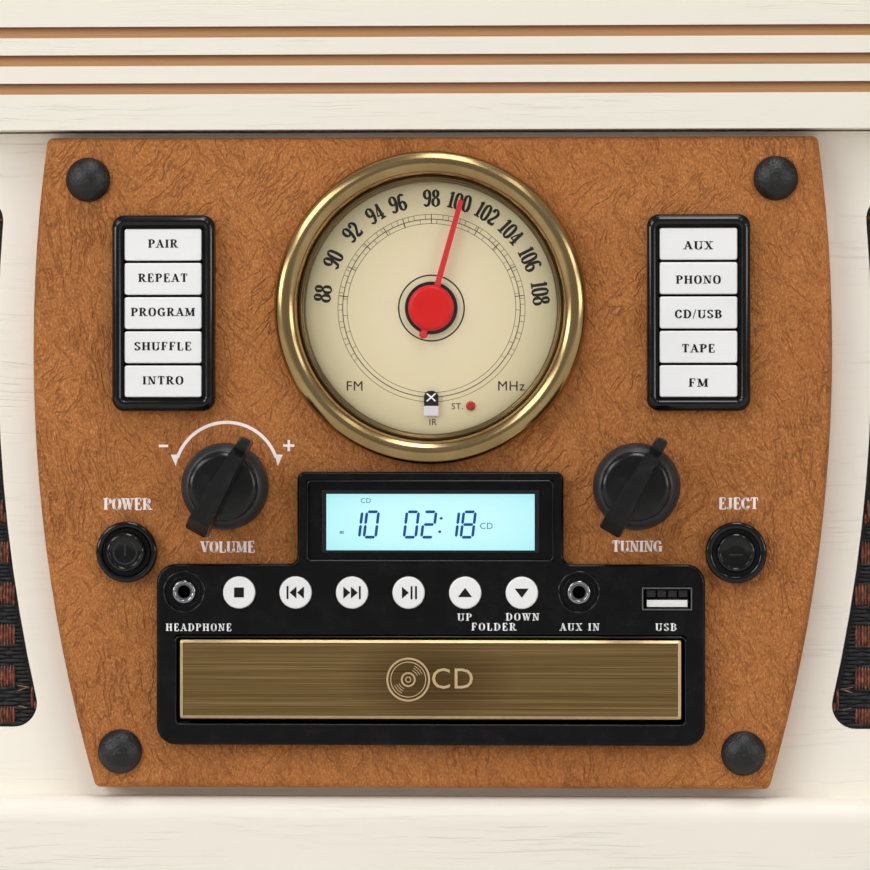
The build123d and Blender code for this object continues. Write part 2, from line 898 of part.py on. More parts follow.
def hinge_screws(x, z):
    """Pair of round screw heads on a hinge leaf."""
    front = back_y + hinge_leaf_thickness
    heads = []
    for side in both_sides:
        place = x + side * hinge_screw_spread
        heads.append(rod(place, z, hinge_screw_radius, front, front + hinge_screw_rise))
    return heads


def stay_arc():
    """Curved stay, concentric with the hinge, so that it slides through its guide."""
    inner = Circle(stay_radius - stay_width / 2)
    ring = Circle(stay_radius + stay_width / 2) - inner
    reach = 2 * stay_radius
    first = radians(180 - stay_top_angle)
    middle = radians(180 + lid_travel / 2)
    last = radians(180 + lid_travel + stay_tail_angle)
    corners = [(reach * cos(turn), reach * sin(turn)) for turn in (first, middle, last)]
    arc = Pos(hinge_y, hinge_z) * (ring & polygon((0, 0), *corners))
    return side_cut(arc, stay_x - stay_thickness / 2, stay_x + stay_thickness / 2)


def stay_lug():
    """Block that screws the top of the stay to the inside of the lid."""
    turn = radians(stay_top_angle)
    y = hinge_y - stay_radius * cos(turn)
    z = hinge_z + stay_radius * sin(turn)
    lid_inside = -(half_width + edge_overhang - lid_wall)
    width = (lid_inside, stay_x + stay_thickness / 2)
    depth = (y - stay_lug_length / 2, y + stay_lug_length / 2)
    return block(width, depth, (z - stay_lug_height / 4, z + stay_lug_height))


def lid_hardware():
    """Lid leaves with their pins, their screws, and the stay on its lug."""
    pieces = []
    for x in (-hinge_spread, hinge_spread):
        pin_half = hinge_leaf_width / 2
        leaf = hinge_leaf(x, True, 1)
        leaf += axle(hinge_y, hinge_z, hinge_pin_radius, x - pin_half, x + pin_half)
        pieces.append(leaf)
        pieces += hinge_screws(x, hinge_z + hinge_screw_drop)
    return pieces + [stay_arc() + stay_lug()]


def stay_guide():
    """Guide under the deck that the stay slides through."""
    near, far = stay_slot_limits()
    middle = (near + far) / 2
    half = guide_length / 2
    inner = (stay_x - guide_width / 2, stay_x + guide_width / 2)
    depth = (middle - half, middle + half)
    guide = block(inner, depth, (deck_bottom - guide_height, deck_bottom))
    return guide - stay_slot()


def stay_slot_limits():
    """Front and back of the slot: the stay's own band where it crosses the deck."""
    drop = hinge_z - (deck_bottom - guide_height)
    outer = stay_radius + stay_width / 2
    inner = stay_radius - stay_width / 2
    near = hinge_y - outer - fit
    far = hinge_y - sqrt(inner**2 - drop**2) + fit
    return near, far


def stay_slot():
    half = stay_thickness / 2 + fit
    height = (deck_bottom - guide_height, deck_z)
    return block((stay_x - half, stay_x + half), stay_slot_limits(), height)


def cabinet_hardware():
    """Body leaves of the hinges, their screws and the stay's guide."""
    pieces = [stay_guide()]
    for x in (-hinge_spread, hinge_spread):
        pieces.append(hinge_leaf(x, False, 0))
        pieces += hinge_screws(x, hinge_z - hinge_screw_drop)
    return pieces


# ---- Control panel ----------------------------------------------------------------------
def stud_places():
    top = [(side * stud_top_x, stud_top_z) for side in both_sides]
    return top + [(side * stud_low_x, stud_low_z) for side in both_sides]


def panel_outline():
    top = panel_side_x(panel_top)
    low = panel_side_x(panel_bottom)
    wide = panel_half_width
    lines = [
        Line((-top, panel_top), (top, panel_top)),
        ThreePointArc((top, panel_top), (wide, panel_waist_z), (low, panel_bottom)),
        Line((low, panel_bottom), (-low, panel_bottom)),
        ThreePointArc((-low, panel_bottom), (-wide, panel_waist_z), (-top, panel_top)),
    ]
    return fillet(make_face(lines).vertices(), panel_edge_radius)


def fascia_outline(inset=0.0):
    """Display fascia: a low wide block with a narrower one on top."""
    upper = fascia_top_half - inset
    lower = fascia_half - inset
    shoulder = fascia_shoulder - inset
    shape = rect(-lower, lower, fascia_bottom + inset, shoulder)
    shape += rect(-upper, upper, shoulder, fascia_top - inset)
    inner = shape.vertices().filter_by_position(Axis.X, -upper - 0.01, upper + 0.01)
    shape = fillet(inner.sort_by(Axis.Y)[:2], fascia_inner_corner)
    tops = shape.vertices().sort_by(Axis.Y)[-2:]
    shape = fillet(tops, fascia_top_corner - inset / 2)
    sides = shape.vertices().filter_by_position(Axis.X, lower - 0.01, lower + 0.01)
    sides += shape.vertices().filter_by_position(Axis.X, -lower - 0.01, -lower + 0.01)
    return fillet(sides, fascia_corner - inset / 2)


def key_tube_size():
    """Width and height of the tube that passes through the panel behind the keys."""
    wide = key_width + 2 * (fit + frame_tube_wall)
    tall = key_pitch * (key_count - 1) + key_height + 2 * (fit + frame_tube_wall)
    return wide, tall


def control_panel():
    """Leather-covered board, cut for everything that passes through it."""
    solid = board(panel_outline(), panel_y, face_y)
    solid = fillet(edges_at_depth(solid, panel_y), panel_edge_radius)
    cuts = Pos(0, dial_z) * Circle(bezel_tube_radius + fit)
    cuts += fascia_outline(fascia_margin)
    wide, tall = key_tube_size()
    for side in both_sides:
        cuts += Pos(side * key_x, key_z) * Rectangle(wide + fit, tall + fit)
        cuts += Pos(side * knob_x, knob_z) * Circle(spindle_bush_radius + shaft_fit)
        cuts += Pos(side * round_x, round_z) * Circle(collar_tube_radius + shaft_fit)
    for x, z in stud_places():
        cuts += Pos(x, z) * Circle(stud_shank_radius + shaft_fit)
    return [solid - board(cuts, panel_y, face_y)]


def panel_studs():
    """Four dome-headed studs that hold the panel to the baffle."""
    shank = stud_shank_radius
    low = -stud_shank_length
    outline = [
        Polyline((0, stud_height), (0, low), (shank, low), (shank, 0), (stud_radius, 0),
                 (stud_radius, stud_edge)),
        dome_arc(stud_radius, stud_edge, stud_height),
    ]
    profile = make_face(outline)
    return [turned(profile, x, z, panel_y) for x, z in stud_places()]


# ---- Grilles and speakers ----------------------------------------------------------------
def grille_panels():
    """Cloth over a slim frame, one in each pocket of the baffle."""
    front = face_y + grille_pocket - grille_thickness
    pieces = []
    for side in both_sides:
        whole = grille_outline(side, fit)
        cloth = board(whole, front, front + grille_cloth)
        rim = whole - grille_outline(side, grille_frame_width)
        pieces.append(cloth + board(rim, front, front + grille_thickness))
    return pieces


def speaker_drivers():
    """A basket with its magnet, and a cone with its dust cap, behind each grille."""
    flange = speaker_flange_thickness
    depth = speaker_basket_depth
    side_wall = speaker_basket_wall
    inner = speaker_hole_radius
    basket = polygon(
        (inner, 0), (speaker_flange_radius, 0), (speaker_flange_radius, -flange),
        (inner + side_wall, -flange), (magnet_radius, -depth),
        (magnet_radius, -depth - magnet_depth), (0, -depth - magnet_depth),
        (0, -depth), (magnet_radius - side_wall, -depth), (inner, -flange),
    )
    cone_wall = speaker_cone_thickness
    throat = speaker_throat_radius
    low = -speaker_cone_depth
    cone = polygon(
        (throat, low), (speaker_cone_radius, -cone_wall), (inner, -cone_wall), (inner, 0),
        (speaker_cone_radius, 0), (throat, low + 2 * cone_wall), (0, low + 4 * cone_wall),
        (0, low),
    )
    pieces = []
    for side in both_sides:
        for profile in (basket, cone):
            pieces.append(turned(profile, side * speaker_x, speaker_z, face_y + wall))
    return pieces


# ---- Dial ----------------------------------------------------------------------------------
def dial_bezel():
    """Half-round ring on the panel, with a lip for the lens and a seat for the face."""
    crest = (bezel_radius + bezel_opening) / 2
    tube = bezel_tube_radius
    seat = lens_radius + shaft_fit
    rim = lens_seat + lens_thickness
    lines = [
        Polyline(
            (seat, rim), (seat, lens_seat), (bezel_lip_radius, lens_seat),
            (bezel_lip_radius, -face_depth), (seat, -face_depth), (seat, -panel_thickness),
            (tube, -panel_thickness), (tube, 0), (bezel_radius, 0),
            (bezel_radius, bezel_shoulder),
        ),
        ThreePointArc(
            (bezel_radius, bezel_shoulder), (crest, bezel_height), (bezel_opening, rim)
        ),
        Line((bezel_opening, rim), (seat, rim)),
    ]
    return [turned(make_face(lines), 0, dial_z, panel_y)]


def dial_face():
    """Face disc with its shaft bush, the remote sensor and the stereo lamp."""
    front = panel_y + face_depth
    back = front + face_thickness
    face = rod(0, dial_z, lens_radius, front, back)
    face += rod(0, dial_z, dial_bush_radius, back, face_y)
    face -= rod(0, dial_z, pointer_shaft_radius + shaft_fit, front, face_y)
    ir_z = dial_z - ir_drop
    low = ir_z - ir_height / 2
    split = ir_z + ir_height / 2 - ir_window_height
    holder = board(rect(-ir_width / 2, ir_width / 2, low, split), front - ir_rise, front)
    eye = board(
        rect(-ir_width / 2, ir_width / 2, split, ir_z + ir_height / 2),
        front - ir_rise,
        front,
    )
    top_edges = edges_at_height(eye, ir_z + ir_height / 2).filter_by(Axis.Y)
    eye = fillet(top_edges, ir_top_radius)
    lamp = rod(led_x, dial_z - led_drop, led_radius, front - led_rise, front)
    lamp = fillet(edges_at_depth(lamp, front - led_rise), led_edge_radius)
    return [face, holder, eye, lamp]


def dial_lens():
    back = panel_y - lens_seat
    return [rod(0, dial_z, lens_radius, back - lens_thickness, back)]


def dial_pointer():
    """Pointer with its domed hub, shaft and the cord drum behind the panel."""
    face = panel_y + face_depth
    disc = face - pointer_hub_gap
    hub = disc - pointer_disc_thickness
    top = hub - pointer_hub_height
    solid = rod(0, dial_z, pointer_disc_radius, hub, disc)
    dome = rod(0, dial_z, pointer_hub_radius, top, hub)
    solid += fillet(edges_at_depth(dome, top), pointer_hub_round)
    tail = pointer_width / 2
    tip = pointer_tip_width / 2
    blade = polygon(
        (-tail, -pointer_tail), (tail, -pointer_tail), (tip, pointer_length), (-tip, pointer_length)
    )
    blade = Pos(0, dial_z) * Rot(0, 0, -pointer_angle) * blade
    lift = hub - pointer_thickness
    solid += board(blade, lift - pointer_thickness, lift)
    solid += rod(0, dial_z, pointer_shaft_radius, disc, control_board_y - fit)
    return [solid + rod(0, dial_z, dial_drum_radius, drum_y, drum_y + drum_width)]


def tuning_cord():
    """Endless cord round the tuning drum and the pointer drum."""
    inner = drum_loop(fit)
    outer = drum_loop(fit + dial_cord)
    middle = drum_y + drum_width / 2
    return [board(outer - inner, middle - dial_cord / 2, middle + dial_cord / 2)]


def drum_loop(grow):
    """Loop that wraps both drums, a distance grow outside them."""
    big = Pos(0, dial_z) * Circle(dial_drum_radius + grow)
    small = Pos(knob_x, knob_z) * Circle(tuning_drum_radius + grow)
    return make_hull(big.edges() + small.edges())


# ---- Knobs ---------------------------------------------------------------------------------
def knob_body():
    """Skirt, dome and pointer bar about the origin, upright, facing the front."""
    skirt = knob_skirt_radius
    height = knob_skirt_height
    dome = knob_dome_radius
    rim = [
        Polyline(
            (0, seat_gap), (skirt, seat_gap), (skirt, height / 2),
            (skirt - knob_skirt_taper, height), (dome + knob_groove, height),
            (dome, height - knob_groove), (dome, height),
        ),
        dome_arc(dome, height, height + knob_dome_rise),
        Line((0, height + knob_dome_rise), (0, seat_gap)),
    ]
    return turned(make_face(rim), 0, 0, 0) + knob_bar()


def knob_bar():
    """Tapered bar across the knob, bevelled at its tail and stepped at its tip."""
    tail = knob_bar_tail_width / 2
    tip = knob_bar_tip_width / 2
    plan = polygon(
        (-tail, -knob_bar_tail), (tail, -knob_bar_tail), (tip, knob_bar_tip), (-tip, knob_bar_tip)
    )
    plan = fillet(plan.vertices(), knob_bar_corner)
    bar = board(plan, -knob_reach, -knob_bar_foot)
    high = -knob_reach
    step = high + knob_tip_drop
    outline = polygon(
        (-knob_bar_foot, -knob_bar_tail), (high + 2 * knob_bar_bevel, -knob_bar_tail),
        (high, knob_bar_bevel - knob_bar_tail), (high, knob_bar_tip - knob_tip_step),
        (step, knob_bar_tip - knob_tip_step + knob_tip_drop / 3),
        (step + knob_tip_drop / 3, knob_bar_tip), (-knob_bar_foot, knob_bar_tip),
    )
    return bar & side_cut(outline, -tail, tail)


def set_knob(x, angle):
    """Knob on the panel, turned clockwise by angle."""
    return Pos(x, panel_y, knob_z) * Rot(0, angle, 0) * knob_body()


def volume_knob():
    """Volume knob with the spindle of its control."""
    spindle = rod(-knob_x, knob_z, spindle_radius, panel_y - seat_gap, control_board_y - fit)
    return [set_knob(-knob_x, volume_angle) + spindle]


def tuning_knob():
    """Tuning knob with its spindle and cord drum."""
    spindle = rod(knob_x, knob_z, spindle_radius, panel_y - seat_gap, control_board_y - fit)
    drum = rod(knob_x, knob_z, tuning_drum_radius, drum_y, drum_y + drum_width)
    return [set_knob(knob_x, tuning_angle) + spindle + drum]


# ---- Keys and buttons ------------------------------------------------------------------------
def key_frame(side):
    """Rounded frame on the panel with a stepped tube that guides the keys."""
    outer = RectangleRounded(frame_width, frame_height, frame_corner)
    place = Pos(side * key_x, key_z)
    solid = board(place * outer, frame_y, panel_y)
    solid = fillet(edges_at_depth(solid, frame_y), frame_edge_radius)
    wide, tall = key_tube_size()
    solid += board(place * Rectangle(wide, tall), panel_y, key_plate_y + frame_back)
    thin = 2 * frame_tube_wall
    solid -= board(place * Rectangle(wide - thin, tall - thin), frame_y, key_plate_y)
    stem = Rectangle(key_stem_width + fit, key_stem_height + fit)
    for n in range(key_count):
        hole = Pos(side * key_x, key_row(n)) * stem
        solid -= board(hole, key_plate_y, key_plate_y + frame_back)
    return solid


def key_row(n):
    """Height of key n, counted from the top."""
    return key_z + ((key_count - 1) / 2 - n) * key_pitch


def collar(side):
    """Round collar on the panel that guides the power or eject button."""
    back = face_y + frame_back
    place = (side * round_x, round_z)
    solid = rod(*place, collar_radius, panel_y - collar_rise, panel_y)
    solid = fillet(edges_at_depth(solid, panel_y - collar_rise), collar_edge_radius)
    solid += rod(*place, collar_tube_radius, panel_y, back)
    bore = round_button_radius + shaft_fit
    solid -= rod(*place, bore, panel_y - collar_rise, back - frame_back)
    return solid - rod(*place, round_stem_radius + shaft_fit, panel_y, back)


def button_surrounds():
    """Two key frames and two collars."""
    frames = [key_frame(side) for side in both_sides]
    return frames + [collar(side) for side in both_sides]


def panel_key(side, n):
    """One key: a cap in the frame and a stem that reaches its switch."""
    place = Pos(side * key_x, key_row(n))
    cap = board(place * RectangleRounded(key_width, key_height, key_corner), key_face_y, key_back_y)
    cap = fillet(edges_at_depth(cap, key_face_y), key_top_radius)
    reach = control_board_y - switch_height - key_travel - fit
    stem = board(place * Rectangle(key_stem_width, key_stem_height), key_back_y, reach)
    return [cap + stem]


def round_button(side, rise):
    """Round push button with its stem."""
    front = panel_y - collar_rise - rise
    place = (side * round_x, round_z)
    cap = rod(*place, round_button_radius, front, front + round_button_depth)
    cap = fillet(edges_at_depth(cap, front), round_edge_radius)
    back = front + round_button_depth
    return [cap + rod(*place, round_stem_radius, back, back + round_stem_length)]


def transport_button(n):
    """Small round button in the fascia, with a flange that keeps it in."""
    x = transport_x + n * transport_pitch
    place = (x, transport_z)
    cap = rod(*place, transport_radius, trim_y - transport_rise, panel_y + fit)
    cap = fillet(edges_at_depth(cap, trim_y - transport_rise), transport_edge_radius)
    flange_back = panel_y + fit + transport_flange_thickness
    cap += rod(*place, transport_flange, panel_y + fit, flange_back)
    reach = panel_y + front_board_depth - switch_height - transport_travel - fit
    return [cap + rod(*place, post_radius, flange_back, reach)]


# ---- Display fascia ------------------------------------------------------------------------
def tray_slot(grow=0.0):
    wide = tray_front_width + 2 * (tray_slot_margin + grow)
    tall = tray_front_height + 2 * (tray_slot_margin + grow)
    return Pos(0, tray_front_z) * RectangleRounded(wide, tall, tray_slot_corner)


def display_fascia():
    """Black moulding with the display window, the disc slot and the button holes."""
    solid = board(fascia_outline(), trim_y, panel_y)
    solid = fillet(edges_at_depth(solid, trim_y), fascia_edge_radius)
    window = rect(-window_half, window_half, window_bottom, window_top)
    solid -= board(window, trim_y, trim_y + window_recess)
    hole = module_half + window_clear
    cuts = rect(-hole, hole, module_bottom - window_clear, module_top + window_clear)
    cuts += tray_slot()
    for n in range(len(transport_names)):
        x = transport_x + n * transport_pitch
        cuts += Pos(x, transport_z) * Circle(transport_radius + fit)
    for x in (headphone_x, aux_x):
        cuts += Pos(x, jack_z) * Circle(jack_ring_radius + shaft_fit)
        dish = Pos(x, jack_z) * Circle(jack_dish_radius)
        solid -= board(dish, trim_y, trim_y + jack_dish_depth)
    grow = 2 * window_clear
    cuts += Pos(usb_x, usb_z) * Rectangle(usb_width + grow, usb_height + grow)
    return [solid - board(cuts, trim_y, panel_y)]


def display_module():
    """Screen in its frame, behind the window."""
    front = trim_y + window_recess
    case = rect(-module_half, module_half, module_bottom, module_top)
    body = board(case, front, panel_y + module_depth)
    screen = rect(-screen_half, screen_half, screen_bottom, screen_top)
    body -= board(screen, front, front + screen_recess + screen_thickness)
    glass_front = front + screen_recess
    lip_half = module_half + module_lip_side
    lip = rect(-lip_half, lip_half, module_bottom - module_lip_end, module_top + module_lip_end)
    body += board(lip, panel_y, panel_y + board_thickness)
    return [body, board(screen, glass_front, glass_front + screen_thickness)]


def jack(x):
    """Jack socket: a plated ring in the fascia and a body that reaches its board."""
    front = trim_y + jack_dish_depth - jack_ring_rise - jack_nose
    back = panel_y + front_board_depth
    ring = rod(x, jack_z, jack_ring_radius, front, panel_y)
    ring = fillet(edges_at_depth(ring, front), jack_nose_radius)
    body = board(Pos(x, jack_z) * Rectangle(jack_body_width, jack_body_height), panel_y, back)
    bore = rod(x, jack_z, jack_bore_radius, front, front + jack_bore_depth)
    return (ring + body) - bore


def usb_socket():
    """Socket shell, and a tongue on a block at its back."""
    front = trim_y - usb_rise
    back = front + usb_depth
    place = Pos(usb_x, usb_z)
    shell = board(place * Rectangle(usb_width, usb_height), front, back)
    thin = 2 * usb_wall
    shell -= board(place * Rectangle(usb_width - thin, usb_height - thin), front, back - usb_wall)
    low = usb_z - usb_height / 2 + usb_wall + usb_tongue_gap / 2
    half = usb_width / 2 - usb_wall - usb_tongue_gap
    tongue = rect(usb_x - half, usb_x + half, low, low + usb_tongue_height)
    return [shell, board(tongue, front + usb_tongue_gap, back - usb_wall)]


def front_sockets():
    """Headphone, line and memory sockets on one board behind the fascia."""
    front = panel_y + front_board_depth
    half = fascia_half - 2 * fascia_margin
    plan = rect(-half, half, front_board_low, front_board_high)
    pieces = [board(plan, front, front + board_thickness)]
    usb_back = trim_y - usb_rise + usb_depth
    stand = Pos(usb_x, usb_z) * Rectangle(usb_width / 2, usb_height / 2)
    pieces.append(board(stand, usb_back, front))
    for n in range(len(transport_names)):
        x = transport_x + n * transport_pitch
        key = Pos(x, transport_z) * Rectangle(2 * switch_height, 2 * switch_height)
        pieces.append(board(key, front - switch_height, front))
    first = transport_x - transport_pitch / 2
    for x in (first, first + len(transport_names) * transport_pitch):
        pieces.append(rod(x, transport_z, front_post_radius, panel_y, front))
    return pieces + [jack(headphone_x), jack(aux_x)] + usb_socket()


# ---- Control board behind the panel --------------------------------------------------------
def control_board():
    """Board that carries the key switches, the volume control and the shaft ends."""
    front = control_board_y
    back = front + board_thickness
    half = panel_window_half - control_board_side
    top = panel_window_top - control_board_drop
    plate = board(rect(-half, half, fascia_shoulder, top), front, back)
    plate -= rod(0, dial_z, pointer_shaft_radius + shaft_fit, front, back)
    pieces = []
    post_x = (key_x - frame_width / 2 - 2 * post_radius, key_x + 3 * post_radius)
    post_z = (panel_window_top - 3 * post_radius, round_z + collar_radius + 2 * post_radius)
    for side in both_sides:
        for x, z in zip(post_x, post_z):
            plate += rod(side * x, z, post_radius, face_y, front)
        plate -= rod(side * round_x, round_z, round_stem_radius + stem_clear, front, back)
        for n in range(key_count):
            size = Rectangle(key_stem_width, 2 * switch_height)
            key = Pos(side * key_x, key_row(n)) * size
            pieces.append(board(key, front - switch_height, front))
    return [plate, volume_control(), tuning_bush()] + pieces


def volume_control():
    """Volume control: its body stands on the board and its bush fills the panel."""
    body = rod(-knob_x, knob_z, pot_radius, face_y, control_board_y)
    body += rod(-knob_x, knob_z, spindle_bush_radius, panel_y + seat_gap, face_y)
    bore = spindle_radius + shaft_fit
    return body - rod(-knob_x, knob_z, bore, panel_y + seat_gap, control_board_y)


def tuning_bush():
    """Bush in the panel that carries the tuning spindle."""
    place = (knob_x, knob_z)
    bush = rod(*place, spindle_bush_radius, panel_y + seat_gap, face_y)
    bore = spindle_radius + shaft_fit
    return bush - rod(*place, bore, panel_y + seat_gap, face_y)


# ---- Disc drawer -----------------------------------------------------------------------------
def tray_back_y():
    """Back of the drawer front, where the tray starts."""
    return trim_y - tray_front_rise + tray_front_thickness


def cd_tray():
    """Tray with a round well for the disc and a notch that clears the sled."""
    front = tray_back_y()
    back = front + tray_length
    half = tray_width / 2
    top = tray_bottom + tray_thickness
    solid = block((-half, half), (front, back), (tray_bottom, top))
    well_y = front + disc_margin + disc_radius
    solid -= pillar(0, well_y, disc_radius + 2 * fit, top - disc_well_depth, top)
    start = well_y - tray_notch_half
    notch = block((-tray_notch_half, tray_notch_half), (start, back), (tray_bottom, top))
    return [solid - notch]


def cd_tray_front():
    """Drawer front with a bevelled edge."""
    front = trim_y - tray_front_rise
    place = Pos(0, tray_front_z)
    plate = board(place * Rectangle(tray_front_width, tray_front_height), front, tray_back_y())
    return [chamfer(edges_at_depth(plate, front), tray_front_bevel)]


def cd_drive():
    """Drive case that the tray slides in, on four posts, with its sled and clamp."""
    front = panel_y + drive_setback
    back = front + drive_length
    inner = tray_width / 2 + fit
    half = inner + drive_wall
    case = block((-half, half), (front, back), (drive_bottom, drive_top))
    low = drive_bottom + drive_wall
    high = drive_top - drive_wall
    case -= block((-inner, inner), (front, back - drive_wall), (low, high))
    rail_top = tray_bottom - fit
    for side in both_sides:
        edges = sorted((side * inner, side * (inner - drive_rail)))
        case += block(edges, (front, back - drive_wall), (low, rail_top))
        for y in (front + drive_post_setback, back - drive_post_inset):
            x = side * (half - drive_post_inset)
            case += pillar(x, y, drive_post_radius, body_z, drive_bottom)
    well_y = tray_back_y() + disc_margin + disc_radius
    case += block((-inner, inner), (well_y, well_y + bridge_width), (high - drive_wall, high))
    clamp_low = tray_bottom + tray_thickness + clamp_gap
    case += pillar(0, well_y, clamp_radius, clamp_low, high)
    sled = block((-sled_half, sled_half), (well_y, well_y + sled_length), (low, rail_top))
    return [case + sled]


# ---- Record deck -----------------------------------------------------------------------------
def pulley_place():
    turn = radians(pulley_angle)
    return platter_x + pulley_distance * cos(turn), platter_y + pulley_distance * sin(turn)


def arm_rest_y():
    return arm_y - rest_distance


def turntable_deck():
    """Deck plate with its bearing, the arm's base and rest, and the lever mounts."""
    half = half_width - wall + rebate - fit
    near = face_y + wall - rebate + fit
    far = back_y - wall + rebate - fit
    deck = block((-half, half), (near, far), (deck_bottom, deck_z))
    deck += pillar(platter_x, platter_y, bearing_radius + bearing_wall, bearing_low(), deck_z)
    deck += pillar(arm_x, arm_y, arm_base_radius, deck_z, deck_z + arm_base_height)
    low = deck_bottom - bearing_length / 2
    deck += pillar(arm_x, arm_y, bearing_radius + bearing_wall, low, deck_z)
    deck += pillar(speed_x, speed_y, speed_shaft_radius + bearing_wall, low, deck_z)
    for x, y, radius in ((platter_x, platter_y, bearing_radius), (arm_x, arm_y, bearing_radius),
                         (speed_x, speed_y, speed_shaft_radius)):
        deck -= pillar(x, y, radius + shaft_fit, bearing_low(), deck_z + arm_base_height)
    deck -= pillar(*pulley_place(), pulley_radius() + pulley_clear, deck_bottom, deck_z)
    deck -= stay_slot()
    slot_x = (stop_x - stop_stem / 2 - fit, stop_x + stop_stem / 2 + fit)
    slot_y = (stop_y - stop_stem / 2 - fit, stop_y + stop_stem / 2 + stop_travel + fit)
    deck -= block(slot_x, slot_y, (deck_bottom, deck_z))
    return [deck + arm_rest() + cue_mount()]


def bearing_low():
    return deck_z - bearing_length


def pulley_radius():
    return platter_hub_radius / pulley_ratio


def arm_rest():
    """Post under the parked arm, with a lip on its outer side."""
    arm_low = deck_z + arm_height - arm_tube_radius
    y = arm_rest_y()
    post = pillar(arm_x, y, rest_radius, deck_z, arm_low - fit)
    lip_x = arm_x + arm_tube_radius + fit
    lip = block((lip_x, lip_x + rest_lip), (y - rest_radius / 2, y + rest_radius / 2),
                (deck_z, arm_low + arm_tube_radius))
    return post + lip


def cue_mount():
    """Block on the deck that carries the cue lever's pin."""
    half = cue_block / 2
    top = deck_z + cue_pivot_height + half
    mount = block((cue_x - half, cue_x + half), (cue_y - half, cue_y + half), (deck_z, top))
    bore = cue_pin_radius + shaft_fit
    return mount - axle(cue_y, deck_z + cue_pivot_height, bore, cue_x - half, cue_x + half)


def platter():
    """Platter with its hub, the boss that fills the mat, its pin and bearing shaft."""
    low = deck_z + platter_gap
    top = low + platter_height
    web = top - platter_web
    inside = platter_radius - platter_rim
    boss_top = top + mat_thickness
    pin_top = boss_top + record_pin_height
    profile = polygon(
        (0, bearing_low()), (bearing_radius, bearing_low()), (bearing_radius, low),
        (platter_hub_radius, low), (platter_hub_radius, web), (inside, web), (inside, low),
        (platter_radius, low), (platter_radius, top - platter_edge),
        (platter_radius - platter_edge, top), (record_boss_radius, top),
        (record_boss_radius, boss_top), (record_pin_radius, boss_top),
        (record_pin_radius, pin_top - record_pin_taper), (record_pin_tip, pin_top), (0, pin_top),
    )
    return [spun(profile, platter_x, platter_y)]


def platter_mat():
    low = deck_z + platter_gap + platter_height
    mat = pillar(platter_x, platter_y, mat_radius, low, low + mat_thickness)
    hole = record_boss_radius + shaft_fit
    return [mat - pillar(platter_x, platter_y, hole, low, low + mat_thickness)]


def belt_loop(grow):
    """Loop round the platter hub and the motor pulley, a distance grow outside."""
    hub = Pos(platter_x, platter_y) * Circle(platter_hub_radius + grow)
    pulley = Pos(*pulley_place()) * Circle(pulley_radius() + grow)
    return make_hull(hub.edges() + pulley.edges())


def turntable_drive():
    """Motor under the deck, and the belt that turns the platter."""
    motor = pillar(*pulley_place(), motor_radius, deck_bottom - motor_height, deck_bottom)
    bore = motor_shaft_radius + shaft_fit
    motor -= pillar(*pulley_place(), bore, deck_bottom - motor_shaft_length, deck_bottom)
    low = deck_z + pulley_gap + belt_lift
    belt = layer(belt_loop(fit + belt_thickness) - belt_loop(fit), low, low + belt_width)
    return [motor, belt]


def motor_pulley():
    low = deck_z + pulley_gap
    pulley = pillar(*pulley_place(), pulley_radius(), low, low + pulley_height)
    foot = deck_bottom - motor_shaft_length + motor_shaft_radius
    return [pulley + pillar(*pulley_place(), motor_shaft_radius, foot, low)]


# ---- Tonearm and deck levers -----------------------------------------------------------------
def arm_axis_z():
    return deck_z + arm_height


def tonearm_yoke():
    """Turning pillar with two cheeks that carry the arm's cross pivot."""
    low = deck_z + arm_base_height + fit
    shoulder = arm_axis_z() - yoke_drop
    shaft_low = deck_bottom - bearing_length / 2
    yoke = pillar(arm_x, arm_y, yoke_radius, low, shoulder)
    yoke += pillar(arm_x, arm_y, bearing_radius, shaft_low, low)
    near = arm_block_half + fit
    half = yoke_radius / 2
    for side in both_sides:
        edges = sorted((arm_x + side * near, arm_x + side * (near + arm_cheek)))
        depth = (arm_y - half, arm_y + half)
        yoke += block(edges, depth, (shoulder - arm_cheek, arm_axis_z() + half))
    bore = arm_pivot_radius + shaft_fit
    reach = near + arm_cheek
    return [yoke - axle(arm_y, arm_axis_z(), bore, arm_x - reach, arm_x + reach)]


def tonearm():
    """Arm parked straight ahead: pivot block, tube, counterweight and headshell."""
    z = arm_axis_z()
    half = arm_block_half
    reach = half + fit + arm_cheek
    arm = block((arm_x - half, arm_x + half), (arm_y - half, arm_y + half), (z - half, z + half))
    arm += axle(arm_y, z, arm_pivot_radius, arm_x - reach, arm_x + reach)
    shell_back = arm_y - arm_length + headshell_length / 2
    arm += rod(arm_x, z, arm_tube_radius, shell_back, arm_y)
    weight = arm_y + counterweight_near
    arm += rod(arm_x, z, arm_tube_radius, arm_y, weight)
    arm += rod(arm_x, z, counterweight_radius, weight, weight + counterweight_length)
    wide = headshell_width / 2
    shell_y = (shell_back - headshell_length, shell_back)
    under = z - arm_tube_radius
    side = (arm_x - wide, arm_x + wide)
    arm += block(side, shell_y, (under, under + headshell_height + arm_tube_radius))
    low = under - cartridge_height
    body_y = (shell_y[0] + cartridge_front, shell_y[1] - cartridge_back)
    arm += block((arm_x - cartridge_half, arm_x + cartridge_half), body_y, (low, under))
    tip_x = (arm_x - stylus_half_width, arm_x + stylus_half_width)
    needle_y = arm_y - arm_length
    tip_y = (needle_y - stylus_half_length, needle_y + stylus_half_length)
    return [arm + block(tip_x, tip_y, (low - stylus_height, low))]


